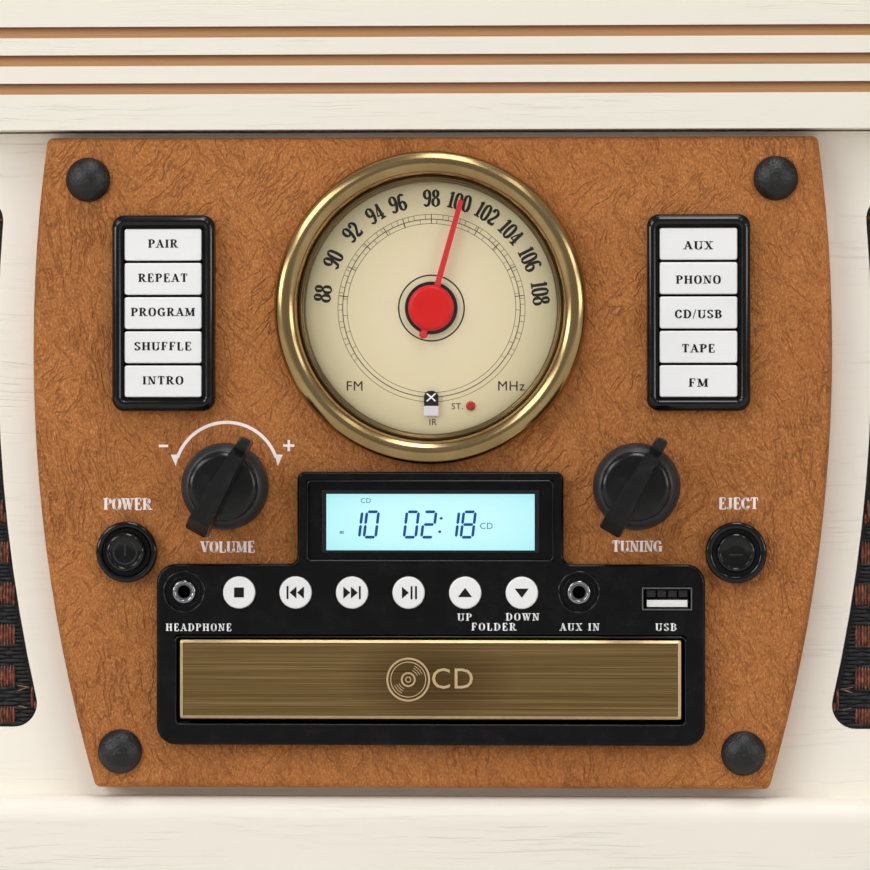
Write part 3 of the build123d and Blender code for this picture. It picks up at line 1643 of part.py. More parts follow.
def cue_lever():
    """Lever beside its block, on a cross pin."""
    z = deck_z + cue_pivot_height
    inner = cue_x + cue_block / 2 + fit
    outer = inner + cue_arm_width
    pin = axle(cue_y, z, cue_pin_radius, cue_x - cue_block / 2, outer)
    hub = axle(cue_y, z, 2 * cue_pin_radius, inner, outer)
    height = (z - cue_pin_radius, z + cue_pin_radius)
    front = cue_y - cue_arm_length
    arm = block((inner, outer), (front, cue_y), height)
    pad = block((inner, outer + cue_arm_width), (front, front + cue_pad_length), height)
    return [pin + hub + arm + pad]


def speed_lever():
    """Flat lever that turns on an upright shaft to choose the record speed."""
    low = deck_z + fit
    high = low + speed_height
    lever = pillar(speed_x, speed_y, speed_hub_radius, low, high)
    half = speed_arm_width / 2
    reach = speed_y - speed_arm_length
    lever += block((speed_x - half, speed_x + half), (reach, speed_y), (low, high))
    lever += block((speed_x - half, speed_x + half), (reach, reach + half), (low, high + half))
    foot = deck_bottom - bearing_length / 2
    return [lever + pillar(speed_x, speed_y, speed_shaft_radius, foot, low)]


def stop_switch():
    """Small slider that turns the automatic stop on or off."""
    low = deck_z + fit
    half = stop_knob_width / 2
    long = stop_knob_length / 2
    knob = block((stop_x - half, stop_x + half), (stop_y - long, stop_y + long),
                 (low, low + stop_knob_height))
    stem = stop_stem / 2
    return [knob + block((stop_x - stem, stop_x + stem), (stop_y - stem, stop_y + stem),
                         (deck_bottom - stop_stem, low))]


# ---- Cassette slot ---------------------------------------------------------------------------
def slot_outline(grow=0.0):
    wide = cassette_width + 2 * grow
    return Pos(cassette_y, cassette_z) * Rectangle(wide, cassette_height + 2 * grow)


def key_outline(grow=0.0):
    wide = cassette_key_width + 2 * grow
    tall = cassette_key_height + 2 * grow
    return Pos(cassette_key_y(), cassette_z) * Rectangle(wide, tall)


def flap_axis():
    """Place of the flap's pin in the side view: x, then z."""
    return half_width - flap_inset, cassette_z + cassette_height / 2 - flap_pin_drop


def cassette_bay():
    """Case of the cassette slot with its flange, the flap's pin holes and a key guide."""
    inner = half_width - cassette_depth
    case = side_cut(slot_outline(cassette_wall), inner, half_width)
    case += side_cut(key_outline(cassette_wall), half_width - cassette_key_guide, half_width)
    edge = half_width + cassette_flange_thickness
    case += side_cut(cassette_flange_outline(), half_width, edge)
    case -= side_cut(slot_outline(), inner + cassette_wall, edge)
    case -= side_cut(key_outline(fit), half_width - cassette_key_guide, edge)
    x, z = flap_axis()
    half = cassette_width / 2 + cassette_wall / 2
    bore = flap_pin_radius + shaft_fit
    return [case - rod(x, z, bore, cassette_y - half, cassette_y + half)]


def cassette_flap():
    """Flap that hangs in the slot and swings inward."""
    x, z = flap_axis()
    half = cassette_width / 2 - fit
    low = cassette_z - cassette_height / 2 + fit
    thick = flap_thickness / 2
    flap = block((x - thick, x + thick), (cassette_y - half, cassette_y + half), (low, z))
    flap += rod(x, z, flap_roll_radius, cassette_y - half, cassette_y + half)
    pin = cassette_width / 2 + cassette_wall / 2 - fit
    return [flap + rod(x, z, flap_pin_radius, cassette_y - pin, cassette_y + pin)]


def cassette_key():
    """Push key that winds on and ejects the cassette."""
    front = half_width + cassette_flange_thickness + cassette_key_rise
    return [side_cut(key_outline(), front - cassette_key_length, front)]


# ---- Electronics and rear terminals -----------------------------------------------------------
def amplifier_board():
    """Main board on its standoffs with its larger parts, and the mains transformer."""
    low = body_z + board_standoff
    top = low + board_thickness
    half_x = board_length / 2
    half_y = board_width / 2
    plate = block((board_x - half_x, board_x + half_x), (board_y - half_y, board_y + half_y),
                  (low, top))
    for sx in both_sides:
        for sy in both_sides:
            x = board_x + sx * (half_x - 2 * post_radius)
            y = board_y + sy * (half_y - 2 * post_radius)
            plate += pillar(x, y, post_radius, body_z, low)
    pieces = [plate]
    for n in range(capacitor_count):
        place = (board_x - half_x + (2 + 3 * n) * capacitor_radius, board_y - half_y / 2)
        pieces.append(pillar(*place, capacitor_radius, top, top + capacitor_height))
    return pieces + [heat_sink(top), transformer()]


def heat_sink(low):
    """Finned sink at the back of the board."""
    y = board_y + board_width / 4
    left = board_x
    sink = block((left, left + sink_length), (y, y + sink_fin), (low, low + sink_height))
    pitch = (sink_length - sink_fin) / (sink_fins - 1)
    for n in range(sink_fins):
        start = left + n * pitch
        depth = (y, y + sink_fin_depth)
        sink += block((start, start + sink_fin), depth, (low, low + sink_height))
    return sink


def transformer():
    """Laminated core with a coil bobbin showing on both faces."""
    half = transformer_width / 2
    deep = transformer_depth / 2
    top = body_z + transformer_height
    core = block((transformer_x - half, transformer_x + half),
                 (transformer_y - deep, transformer_y + deep), (body_z, top))
    inner = half - coil_margin
    coil_y = (transformer_y - deep - coil_margin, transformer_y + deep + coil_margin)
    coil_z = (body_z + coil_margin, top - coil_margin)
    return core + block((transformer_x - inner, transformer_x + inner), coil_y, coil_z)


def rear_terminals():
    """Terminal plate with two line sockets, an aerial socket and the mains inlet."""
    back = back_y + terminal_plate
    plan = RectangleRounded(terminal_width, terminal_height, terminal_corner)
    plate = board(Pos(terminal_x, terminal_z) * plan, back_y, back)
    inlet_x = terminal_x - terminal_width / 4
    hole = Pos(inlet_x, terminal_z) * SlotOverall(inlet_width, inlet_height)
    plate -= board(hole, back_y, back)
    pieces = [plate, mains_inlet(inlet_x)]
    first = terminal_x + terminal_margin
    for n in range(2):
        pieces.append(round_socket(first + n * line_spacing, line_radius))
    pieces.append(round_socket(first + 2 * line_spacing, aerial_radius))
    return pieces


def round_socket(x, radius):
    """Round socket that stands out of the terminal plate."""
    back = back_y + terminal_plate
    barrel = rod(x, terminal_z, radius, back, back + line_length)
    return barrel - rod(x, terminal_z, radius / 3, back, back + line_length)


def mains_inlet(x):
    """Two-pin inlet well behind the plate."""
    place = Pos(x, terminal_z)
    outer = SlotOverall(inlet_width + 2 * inlet_wall, inlet_height + 2 * inlet_wall)
    front = back_y - inlet_depth
    well = board(place * outer, front, back_y)
    well -= board(place * SlotOverall(inlet_width, inlet_height), front + inlet_wall, back_y)
    for side in both_sides:
        pin_x = x + side * inlet_pin_spacing / 2
        well += rod(pin_x, terminal_z, inlet_pin_radius, front + inlet_wall, back_y)
    return well


# ---- Every sub-part and its file --------------------------------------------------------------
def sub_parts():
    """Each node's name with its solids."""
    nodes = {
        "side_panels": side_panels(),
        "front_baffle": front_baffle(),
        "back_panel": back_panel(),
        "base_plinth": base_plinth(),
        "rubber_feet": rubber_feet(),
        "grille_panels": grille_panels(),
        "speaker_drivers": speaker_drivers(),
        "control_panel": control_panel(),
        "panel_studs": panel_studs(),
        "dial_bezel": dial_bezel(),
        "dial_face": dial_face(),
        "dial_lens": dial_lens(),
        "display_fascia": display_fascia(),
        "display_module": display_module(),
        "button_surrounds": button_surrounds(),
        "front_sockets": front_sockets(),
        "cd_drive": cd_drive(),
        "turntable_deck": turntable_deck(),
        "turntable_drive": turntable_drive(),
        "cassette_bay": cassette_bay(),
        "amplifier_board": amplifier_board(),
        "control_board": control_board(),
        "rear_terminals": rear_terminals(),
        "cabinet_hardware": cabinet_hardware(),
        "tuning_cord": tuning_cord(),
        "lid_shell": lid_shell(),
        "lid_hardware": lid_hardware(),
        "volume_knob": volume_knob(),
        "tuning_knob": tuning_knob(),
        "dial_pointer": dial_pointer(),
        "power_button": round_button(-1, power_rise),
        "eject_button": round_button(1, eject_rise),
        "cd_tray": cd_tray(),
        "cd_tray_front": cd_tray_front(),
        "platter": platter(),
        "platter_mat": platter_mat(),
        "motor_pulley": motor_pulley(),
        "tonearm_yoke": tonearm_yoke(),
        "tonearm": tonearm(),
        "cue_lever": cue_lever(),
        "speed_lever": speed_lever(),
        "stop_switch": stop_switch(),
        "cassette_flap": cassette_flap(),
        "cassette_key": cassette_key(),
    }
    for side, name in zip(both_sides, ("left_key", "right_key")):
        for n in range(key_count):
            nodes[f"{name}_{n + 1}"] = panel_key(side, n)
    for n, name in enumerate(transport_names):
        nodes[f"{name}_button"] = transport_button(n)
    return nodes


os.makedirs("parts", exist_ok=True)
for node, pieces in sub_parts().items():
    solids = [solid for piece in pieces for solid in piece.solids()]
    export_step(Compound(label=node, children=solids), f"parts/{node}.step")
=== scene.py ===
# %% [markdown]
# # A stereo music centre
#
# The real object is a wooden radio cabinet with painted wood all round, a leather-covered
# panel on its front, a brass dial, knobs, keys, a lit display and a disc drawer. A record
# deck sits under the lid and a cassette slot is in the right side. This lesson dresses the
# solid model: every part keeps its place, and each surface gets its finish, its print and
# its small details. All modelling is done in millimetres and scaled to metres at the end.

import math

import bmesh
import bpy
from mathutils import Matrix, Vector


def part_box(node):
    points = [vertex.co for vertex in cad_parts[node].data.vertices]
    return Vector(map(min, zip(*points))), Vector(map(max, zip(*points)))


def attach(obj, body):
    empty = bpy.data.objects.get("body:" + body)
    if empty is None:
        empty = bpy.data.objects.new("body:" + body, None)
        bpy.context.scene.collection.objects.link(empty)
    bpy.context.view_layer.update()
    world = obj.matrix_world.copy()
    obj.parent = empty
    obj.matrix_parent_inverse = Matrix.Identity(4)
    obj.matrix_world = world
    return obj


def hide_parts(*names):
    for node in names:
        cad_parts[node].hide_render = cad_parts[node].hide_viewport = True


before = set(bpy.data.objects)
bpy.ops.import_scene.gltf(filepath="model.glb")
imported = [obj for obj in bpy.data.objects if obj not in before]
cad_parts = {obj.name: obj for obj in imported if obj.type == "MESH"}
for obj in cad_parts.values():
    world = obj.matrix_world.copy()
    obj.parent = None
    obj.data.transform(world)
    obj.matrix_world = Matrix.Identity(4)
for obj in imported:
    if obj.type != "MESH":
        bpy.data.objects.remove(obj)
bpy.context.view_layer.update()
MM = 0.001

# %% [markdown]
# ## Places on the front
#
# Every new detail sits on a part of the solid model, so its place is read from that part's
# box. If the part moves, the print and the trim move with it.


# %% Boxes of the parts in millimetres
def span(node):
    low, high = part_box(node)
    return low / MM, high / MM


def centre(node):
    low, high = span(node)
    return (low + high) / 2


def half_size(node):
    low, high = span(node)
    return (high - low) / 2


PANEL_Y = span("control_panel")[0].y
FASCIA_Y = span("display_fascia")[0].y
FACE_Y = PANEL_Y + 2.5  # printed face, behind the panel's front
dial = centre("dial_bezel")
BEZEL_RADIUS = half_size("dial_bezel").x
PRINT = 0.05  # how far ink stands off its surface
CLEAR = 0.03  # lift of one print over another, so that neither hides in the other
print("panel front at", round(PANEL_Y, 1), "dial centre at", round(dial.z, 1))

# %% [markdown]
# ## Camera
#
# A long lens far away keeps the outlines of a front panel straight. The camera stands a
# few degrees to the right, level with the middle of the panel.

# %% Camera
VIEW_TURN = math.radians(3.4)
VIEW_DISTANCE = 1800.0
LENS_LENGTH = 255.2
SENSOR_WIDTH = 36
AIM = Vector((1.2, PANEL_Y, 141.8))
eye = AIM + Vector((math.sin(VIEW_TURN), -math.cos(VIEW_TURN), 0)) * VIEW_DISTANCE
lens = bpy.data.cameras.new("long_lens")
lens.sensor_width = SENSOR_WIDTH
lens.lens = LENS_LENGTH
camera = bpy.data.objects.new("camera", lens)
camera.location = eye * MM
camera.rotation_mode = "QUATERNION"
camera.rotation_quaternion = (AIM - eye).to_track_quat("-Z", "Y")
bpy.context.scene.collection.objects.link(camera)
bpy.context.scene.camera = camera
bpy.context.scene.view_settings.view_transform = "Standard"
print("camera", round(VIEW_DISTANCE), "mm away")

# %% [markdown]
# ## Shader maths as plain expressions
#
# A material is a graph of nodes. Building it node by node hides the idea, so one small
# class wraps a socket and lets + - * / < > add the Math nodes, and another class owns the
# material and adds every other kind of node.


# %% A socket that can be used in sums
class Value:
    """One output socket. Each operator adds one Math node."""

    def __init__(self, finish, socket):
        self.finish = finish
        self.socket = socket

    def math(self, operation, *terms):
        inputs = dict(enumerate(terms))
        return self.finish.node("ShaderNodeMath", {"operation": operation}, inputs)

    def __add__(self, other):
        return self.math("ADD", self, other)

    def __sub__(self, other):
        return self.math("SUBTRACT", self, other)

    def __rsub__(self, other):
        return self.math("SUBTRACT", other, self)

    def __mul__(self, other):
        return self.math("MULTIPLY", self, other)

    def __truediv__(self, other):
        return self.math("DIVIDE", self, other)

    def __lt__(self, other):
        return self.math("LESS_THAN", self, other)

    def __gt__(self, other):
        return self.math("GREATER_THAN", self, other)

    def __abs__(self):
        return self.math("ABSOLUTE", self)

    def __pow__(self, power):
        return self.math("POWER", self, power)

    __radd__ = __add__
    __rmul__ = __mul__

    def between(self, low, high):
        return self.finish.node(
            "ShaderNodeMapRange",
            {"clamp": True},
            {"Value": self, "From Min": low, "From Max": high},
        )


print("sockets can be added, compared and clamped")


# %% A material and the one method that adds its nodes
def linear(red, green, blue):
    """Colour as seen on a screen, 0 to 255, as linear light."""
    parts = [value / 255 for value in (red, green, blue)]
    return [v / 12.92 if v <= 0.04045 else ((v + 0.055) / 1.055) ** 2.4 for v in parts] + [1.0]


class Finish:
    """A material whose nodes are added by one method."""

    def __init__(self, name, **sockets):
        self.material = bpy.data.materials.new(name)
        self.material.use_nodes = True
        self.tree = self.material.node_tree
        self.shader = self.tree.nodes["Principled BSDF"]
        self.set(**sockets)

    def set(self, **sockets):
        """Feeds the shader: base_color goes to the socket Base Color."""
        for name, value in sockets.items():
            self.feed(self.shader.inputs[name.replace("_", " ").title()], value)
        return self

    def feed(self, entry, value):
        if isinstance(value, Value):
            self.tree.links.new(entry, value.socket)
        else:
            entry.default_value = value

    def node(self, kind, settings, inputs, output=0):
        made = self.tree.nodes.new(kind)
        for name, value in settings.items():
            if name == "stops":
                self.set_stops(made.color_ramp, value)
            else:
                setattr(made, name, value)
        for name, value in inputs.items():
            self.feed(made.inputs[name], value)
        return Value(self, made.outputs[output])

    def set_stops(self, ramp, stops):
        while len(ramp.elements) < len(stops):
            ramp.elements.new(1.0)
        for element, (place, colour) in zip(ramp.elements, stops):
            element.position = place
            element.color = colour

    def place(self):
        return self.node("ShaderNodeTexCoord", {}, {}, "Object")

    def stretch(self, vector, x, y, z):
        scale = {0: vector, 1: (x, y, z)}
        return self.node("ShaderNodeVectorMath", {"operation": "MULTIPLY"}, scale)

    def shift(self, vector, other):
        return self.node("ShaderNodeVectorMath", {"operation": "ADD"}, {0: vector, 1: other})

    def axis(self, vector, name):
        return self.node("ShaderNodeSeparateXYZ", {}, {0: vector}, name)

    def axes(self, place, names):
        """Coordinates of a place along the named axes, in millimetres."""
        return [self.axis(place, name) / MM for name in names]

    def mirror_level(self, level):
        """How strongly the surface mirrors, where 0.5 is usual: one value all over."""
        self.shader.inputs["Specular IOR Level"].default_value = level

    def noise(self, vector, scale, detail=3.0, roughness=0.5, output="Fac"):
        inputs = {"Vector": vector, "Scale": scale, "Detail": detail, "Roughness": roughness}
        return self.node("ShaderNodeTexNoise", {}, inputs, output)

    def cell_edges(self, vector, scale):
        settings = {"feature": "DISTANCE_TO_EDGE"}
        inputs = {"Vector": vector, "Scale": scale}
        return self.node("ShaderNodeTexVoronoi", settings, inputs, "Distance")

    def mix(self, factor, first, second):
        sockets = {0: factor, 6: first, 7: second}
        return self.node("ShaderNodeMix", {"data_type": "RGBA"}, sockets, 2)

    def ramp(self, factor, *stops):
        return self.node("ShaderNodeValToRGB", {"stops": stops}, {0: factor})

    def bump(self, height, strength, distance):
        inputs = {"Height": height, "Strength": strength, "Distance": distance * MM}
        return self.node("ShaderNodeBump", {}, inputs)


def from_zero(first, second):
    """How far a place with these two coordinates lies from zero."""
    return (first * first + second * second) ** 0.5


print("shader maths ready")

# %% [markdown]
# ## Light
#
# Soft light from large lamps shows painted wood and leather without hard shadows. Brass
# and black plastic show the lamps themselves, so those in front are strips that point
# away from the middle: each lays one soft streak across the dial ring. The key strip
# hangs high on the left. The world is a little paler where the camera, metal or glass
# looks at it than where it lights the object.


# %% Lamps and world
def lamp(name, place, target, size, watts):
    """Area lamp whose long side points away from the line of sight, as a strip does."""
    data = bpy.data.lights.new(name, "AREA")
    data.shape = "RECTANGLE"
    data.size, data.size_y = size
    data.energy = watts
    light = bpy.data.objects.new(name, data)
    light.location = place
    ahead = (Vector(target) - Vector(place)).normalized()
    outward = Vector((place[0], 0, place[2] - target[2])).normalized()
    across = outward.cross(-ahead).normalized()
    upright = (-ahead).cross(across)
    light.rotation_euler = Matrix((across, upright, -ahead)).transposed().to_euler()
    bpy.context.scene.collection.objects.link(light)


FRONT, MIDDLE, TOP = (0, -0.15, 0.17), (0, 0.1, 0.15), (0, 0, 0.2)
LAMPS = {  # place, what it points at, size and watts
    "key_strip": ((-1.15, -1.25, 1.1), FRONT, (0.5, 1.5), 10.5),
    "upper_right_strip": ((0.75, -1.2, 1.45), FRONT, (0.2, 1.2), 2),
    "left_strip": ((-1.5, -1.15, 0.45), FRONT, (0.3, 1.0), 6.5),
    "right_strip": ((1.5, -1.15, 0.35), FRONT, (0.3, 1.0), 4.5),
    "right_fill": ((1.5, -1.3, 0.8), FRONT, (0.3, 1.0), 3),
    "top_front_lamp": ((0.1, -0.7, 1.9), FRONT, (0.5, 1.6), 16),
    "rear_lamp": ((-0.8, 1.9, 0.95), MIDDLE, (1.2, 0.8), 17),
    "top_lamp": ((0.2, 0.1, 2.1), TOP, (1.2, 1.2), 0.6),
}
for name, settings in LAMPS.items():
    lamp(name, *settings)

WORLD_LIGHT = 0.27
WORLD_SEEN = 0.3


def is_seen(tree):
    """1 where a ray comes from the camera, a mirror or glass."""
    path = tree.nodes.new("ShaderNodeLightPath")
    either = path.outputs["Is Camera Ray"]
    for name in ("Is Glossy Ray", "Is Transmission Ray"):
        top = tree.nodes.new("ShaderNodeMath")
        top.operation = "MAXIMUM"
        tree.links.new(top.inputs[0], either)
        tree.links.new(top.inputs[1], path.outputs[name])
        either = top.outputs[0]
    return either


world = bpy.data.worlds.new("studio")
world.use_nodes = True
bpy.context.scene.world = world
sky = world.node_tree.nodes["Background"]
sky.inputs["Color"].default_value = (1, 1, 1, 1)
level = world.node_tree.nodes.new("ShaderNodeMapRange")
level.inputs["To Min"].default_value = WORLD_LIGHT
level.inputs["To Max"].default_value = WORLD_SEEN
world.node_tree.links.new(level.inputs["Value"], is_seen(world.node_tree))
world.node_tree.links.new(sky.inputs["Strength"], level.outputs["Result"])
print(len(LAMPS), "lamps")

# %% [markdown]
# ## Floor
#
# A plain pale floor catches the cabinet's shadow and nothing else.

# %% Floor
FLOOR_REACH = 6.0  # metres from the middle to each side
sheet = bmesh.new()
bmesh.ops.create_grid(sheet, x_segments=2, y_segments=2, size=FLOOR_REACH)
floor_mesh = bpy.data.meshes.new("floor")
sheet.to_mesh(floor_mesh)
sheet.free()
floor = bpy.data.objects.new("floor", floor_mesh)
bpy.context.scene.collection.objects.link(floor)
floor_finish = Finish("floor_paper", roughness=0.9, base_color=linear(212, 210, 206))
floor_finish.mirror_level(0.1)
floor_mesh.materials.append(floor_finish.material)
print("floor laid")

# %% [markdown]
# ## Painted wood
#
# The cabinet is wood whose grain shows through satin ivory paint as fine level lines. An
# image of wood would stretch over the corners, so the grain is worked out in space: a
# noise that is long along the board and very short across it. On level faces the same
# grain runs across the depth instead, so the two are mixed by where the surface faces.


# %% Grain that lies along the board
def grain(finish, place):
    """Fine broken lines, level on upright faces and along X on level ones."""
    wave = finish.noise(place, 26.0, 2.0, 0.5, "Color")
    bent = finish.shift(place, finish.stretch(wave, 0.0, 0.004, 0.004))
    wall = finish.noise(finish.stretch(bent, 42, 42, 1500), 1.0, 3.0, 0.6)
    top = finish.noise(finish.stretch(bent, 42, 1500, 42), 1.0, 3.0, 0.6)
    facing = finish.node("ShaderNodeTexCoord", {}, {}, "Normal")
    up = abs(finish.axis(facing, "Z")).between(0.5, 0.9)
    lines = wall + (top - wall) * up
    cluster = finish.noise(finish.stretch(place, 9, 9, 60), 1.0, 2.0)
    return (lines - 0.57).between(0.0, 0.1) * cluster.between(0.42, 0.66)


IVORY, IVORY_SHADE = linear(238, 232, 219), linear(210, 202, 184)
# painted light: the baffle and the plinth get lighter copies of the same ivory, to brighten the
# baffle in the lid's shade and the plinth's rounded top edge
BAFFLE_IVORY_LIT, PLINTH_IVORY_LIT = linear(250, 244, 232), linear(245, 239, 227)


def painted(finish, place, tone):
    """Paint over the grain: its colour and its relief."""
    pores = grain(finish, place)
    broad = finish.noise(place, 9.0, 2.0)
    colour = finish.mix(pores * 0.25 + broad * 0.1, tone, IVORY_SHADE)
    return colour, finish.bump(1 - pores, 0.7, 0.15)


def ivory_finish(name, tone):
    finish = Finish(name, roughness=0.45)
    colour, relief = painted(finish, finish.place(), tone)
    finish.set(base_color=colour, normal=relief)
    return finish


ivory = ivory_finish("ivory_paint", IVORY)
baffle_ivory_lit = ivory_finish("baffle_paint_lit", BAFFLE_IVORY_LIT)
plinth_ivory_lit = ivory_finish("plinth_paint_lit", PLINTH_IVORY_LIT)
print("ivory paints mixed")

# %% [markdown]
# The lid carries three brown grooves. They are cut in the solid model, so the paint only
# has to turn brown between their edges, on the outside of the lid. The upper part of
# each groove is painted darker, as the shade under the edge above it.

# %% Lid paint with brown grooves
FIRST_GROOVE, GROOVE_PITCH, GROOVE_HALF = 12.0, 8.27, 1.62
GROOVES = [span("lid_shell")[0].z + FIRST_GROOVE + n * GROOVE_PITCH for n in range(3)]
LID_CORNER = 32.0
GROOVE_BAND = 5.0  # paint this far in from the outside can be brown
GROOVE_STOP = 31.9  # the grooves end this far from the back


def lid_finish():
    finish = Finish("grooved_ivory", roughness=0.45)
    place = finish.place()
    colour, relief = painted(finish, place, IVORY)
    width, depth, height = finish.axes(place, "XYZ")
    low, high = span("lid_shell")
    across = (abs(width) - (high.x - LID_CORNER)).between(0.0, LID_CORNER)
    ahead = (low.y + LID_CORNER - depth).between(0.0, LID_CORNER)
    rim = from_zero(across, ahead) > 1 - GROOVE_BAND / LID_CORNER
    outside = rim * (depth < high.y - GROOVE_STOP)
    inside = edge = 0.0
    for middle in GROOVES:
        groove = abs(height - middle) < GROOVE_HALF
        inside = groove + inside
        # painted shade: the upper part of each groove turns darker, as under the edge above it
        edge = (height - middle).between(-0.4, 1.6) * groove + edge
    streak = finish.noise(finish.stretch(place, 20, 20, 900), 1.0, 3.0, 0.6)
    # the second brown is the painted shade at the top of each groove
    brown = finish.mix(edge, linear(206, 158, 108), linear(146, 102, 64))
    brown = finish.mix(streak.between(0.5, 0.7) * 0.3, brown, linear(158, 108, 66))
    finish.set(base_color=finish.mix(inside * outside, colour, brown), normal=relief)
    return finish


lid_paint = lid_finish()
print("grooves at", [round(z, 1) for z in GROOVES])

# %% [markdown]
# ## Leatherette
#
# The tan covering is embossed: fine hatching all over, faint cells, long creases that
# lean each way in patches, and painted shade that darkens the cracks and creases. A noise
# that is stretched along a turned axis gives the creases, because its middle value draws
# thin lines, and a second noise bends all of them so that none runs straight.


# %% Tan leatherette
def creases(finish, vector, lean, scale):
    """Thin long lines that lean by an angle: where a smooth noise passes its middle."""
    settings = {"rotation_type": "Y_AXIS"}
    turned = finish.node("ShaderNodeVectorRotate", settings, {"Vector": vector, "Angle": lean})
    drawn = finish.noise(finish.stretch(turned, 1.0, 1.0, 0.2), scale, 2.5, 0.6)
    return 1 - abs(drawn - 0.5).between(0.0, 0.04)


def leather_finish():
    """Fine hatching, faint cells, and long creases that lean each way in their own patches."""
    finish = Finish("tan_leatherette")
    place = finish.place()
    swirl = finish.noise(place, 70.0, 3.0, 0.6, "Color")
    bent = finish.shift(place, finish.stretch(swirl, 0.006, 0.006, 0.006))
    patch = finish.noise(place, 34.0, 3.0, 0.6)
    hatch = finish.noise(finish.stretch(bent, 2100, 2100, 1150), 1.0, 4.0, 0.7)
    cells = finish.cell_edges(finish.stretch(bent, 1.0, 1.0, 0.7), 900.0)
    cracks = (1 - cells.between(0.0, 0.25)) * patch.between(0.4, 0.6)
    steep = creases(finish, bent, 0.12, 300.0) * patch.between(0.5, 0.6)
    right = creases(finish, bent, -0.7, 260.0) * (1 - patch.between(0.4, 0.47))
    left = creases(finish, bent, 0.6, 280.0) * (1 - abs(patch - 0.49).between(0.02, 0.06))
    folds = steep + right + left * 0.8
    cloud = finish.noise(place, 16.0, 3.0, 0.55)
    tan_and_crease_shade = finish.ramp(
        hatch,
        (0.3, linear(138, 80, 33)),
        (0.5, linear(177, 111, 57)),
        (0.7, linear(211, 147, 90)),
    )
    tan_and_crease_shade = finish.mix(cloud.between(0.4, 0.7) * 0.25, tan_and_crease_shade, linear(160, 94, 42))
    # painted shade: cracks and creases are darkened in colour, as the shade in their valleys
    tan_and_crease_shade = finish.mix(cracks * 0.24 + folds * 0.42, tan_and_crease_shade, linear(108, 54, 18))
    relief = hatch * 0.5 - cracks * 0.3 - folds
    finish.set(base_color=tan_and_crease_shade, roughness=0.5, normal=finish.bump(relief, 0.7, 0.4))
    finish.mirror_level(0.2)
    return finish


leather = leather_finish()
print("leatherette mixed")

# %% [markdown]
# ## Black plastics
#
# Three black plastics meet on the front: satin mouldings round the display, polished
# frames and buttons, and grained studs. All are nearly black, so what tells them apart is
# how rough they are, how much they mirror and how deep their fine texture is.


# %% Black plastics
SHEEN = 0.2  # black mouldings mirror less than the usual plastic


def black_finish(name, tone, roughness, texture, depth, sheen=SHEEN, relief=0.05):
    finish = Finish(name)
    finish.mirror_level(sheen)
    place = finish.place()
    fine = finish.noise(place, texture, 3.0, 0.6)
    dust = finish.noise(place, 160.0, 4.0, 0.7)
    colour = finish.mix(dust.between(0.45, 0.8) * 0.08, tone, linear(70, 72, 76))
    finish.set(
        base_color=colour,
        roughness=dust * 0.12 + (roughness - 0.06),
        normal=finish.bump(fine, depth, relief),
    )
    return finish


satin_black = black_finish("black_satin", linear(6, 6, 7), 0.26, 1500.0, 0.1)
gloss_black = black_finish("black_gloss", linear(6, 6, 7), 0.14, 400.0, 0.04, sheen=0.42)
stud_black = black_finish(
    "stud_black", linear(8, 8, 9), 0.36, 1100.0, 1.0, sheen=0.5, relief=0.3
)
inner_black = black_finish("inner_black", linear(24, 24, 25), 0.55, 900.0, 0.2)
rubber = black_finish("foot_rubber", linear(34, 33, 32), 0.75, 1200.0, 0.4)
print("black plastics mixed")


# %% White plastic
key_white = Finish("key_white")
key_fine = key_white.noise(key_white.place(), 700.0, 3.0)
key_broad = key_white.noise(key_white.place(), 60.0, 2.0)
key_tone, key_shade = linear(239, 239, 239), linear(228, 229, 231)
key_white.set(
    base_color=key_white.mix(key_broad.between(0.35, 0.75) * 0.5, key_tone, key_shade),
    roughness=key_fine * 0.08 + 0.26,
    normal=key_white.bump(key_fine, 0.05, 0.03),
)
print("white plastic mixed")

# %% [markdown]
# ## Metals
#
# The dial ring is polished brass. The drawer front is brushed brass that was darkened and
# lacquered, so its brush lines run level; its edges are painted pale as a highlight. Plated
# rings and steel hinges are plain bright metal with fine scratches.


# %% Brass, steel and aluminium
def metal_finish(name, tone, shade, roughness, brush=(300, 300, 300)):
    finish = Finish(name, metallic=1.0)
    place = finish.place()
    lines = finish.noise(finish.stretch(place, *brush), 1.0, 4.0, 0.6)
    tarnish = finish.noise(place, 45.0, 3.0)
    colour = finish.mix(lines.between(0.35, 0.7) * 0.4 + tarnish * 0.25, tone, shade)
    finish.set(base_color=colour, roughness=lines * 0.14 + (roughness - 0.05))
    finish.set(normal=finish.bump(lines, 0.06, 0.03))
    return finish


zinc_steel = metal_finish("zinc_steel", linear(186, 184, 178), linear(140, 138, 132), 0.34)
aluminium = metal_finish(
    "satin_aluminium", linear(208, 209, 211), linear(180, 181, 184), 0.3, (60, 60, 60)
)


def ring_brass():
    """Lacquered brass with painted shade in the channel beside the cover."""
    finish = Finish("polished_brass", metallic=1.0)
    place = finish.place()
    x, z = finish.axes(place, "XZ")
    out = from_zero(x - dial.x, z - dial.z)
    channel = 1 - out.between(BEZEL_RADIUS - 6.3, BEZEL_RADIUS - 5.9)
    tarnish = finish.noise(place, 60.0, 4.0, 0.6)
    scratch = finish.noise(place, 700.0, 2.0)
    bright, dull = linear(180, 154, 108), linear(136, 112, 70)
    colour = finish.mix(tarnish.between(0.35, 0.7) * 0.5, bright, dull)
    # painted shade: the channel beside the cover is darkened in colour
    colour = finish.mix(channel * 0.6, colour, linear(60, 44, 20))
    finish.set(base_color=colour, roughness=0.14 + tarnish * 0.1 + channel * 0.1)
    finish.set(normal=finish.bump(scratch, 0.03, 0.02))
    return finish


polished_brass = ring_brass()
drawer = centre("cd_tray_front")
drawer_half = half_size("cd_tray_front")
HIGHLIGHT_IN, HIGHLIGHT_OUT = 0.85, 0.6  # the painted edge highlight pales the brass between these depths
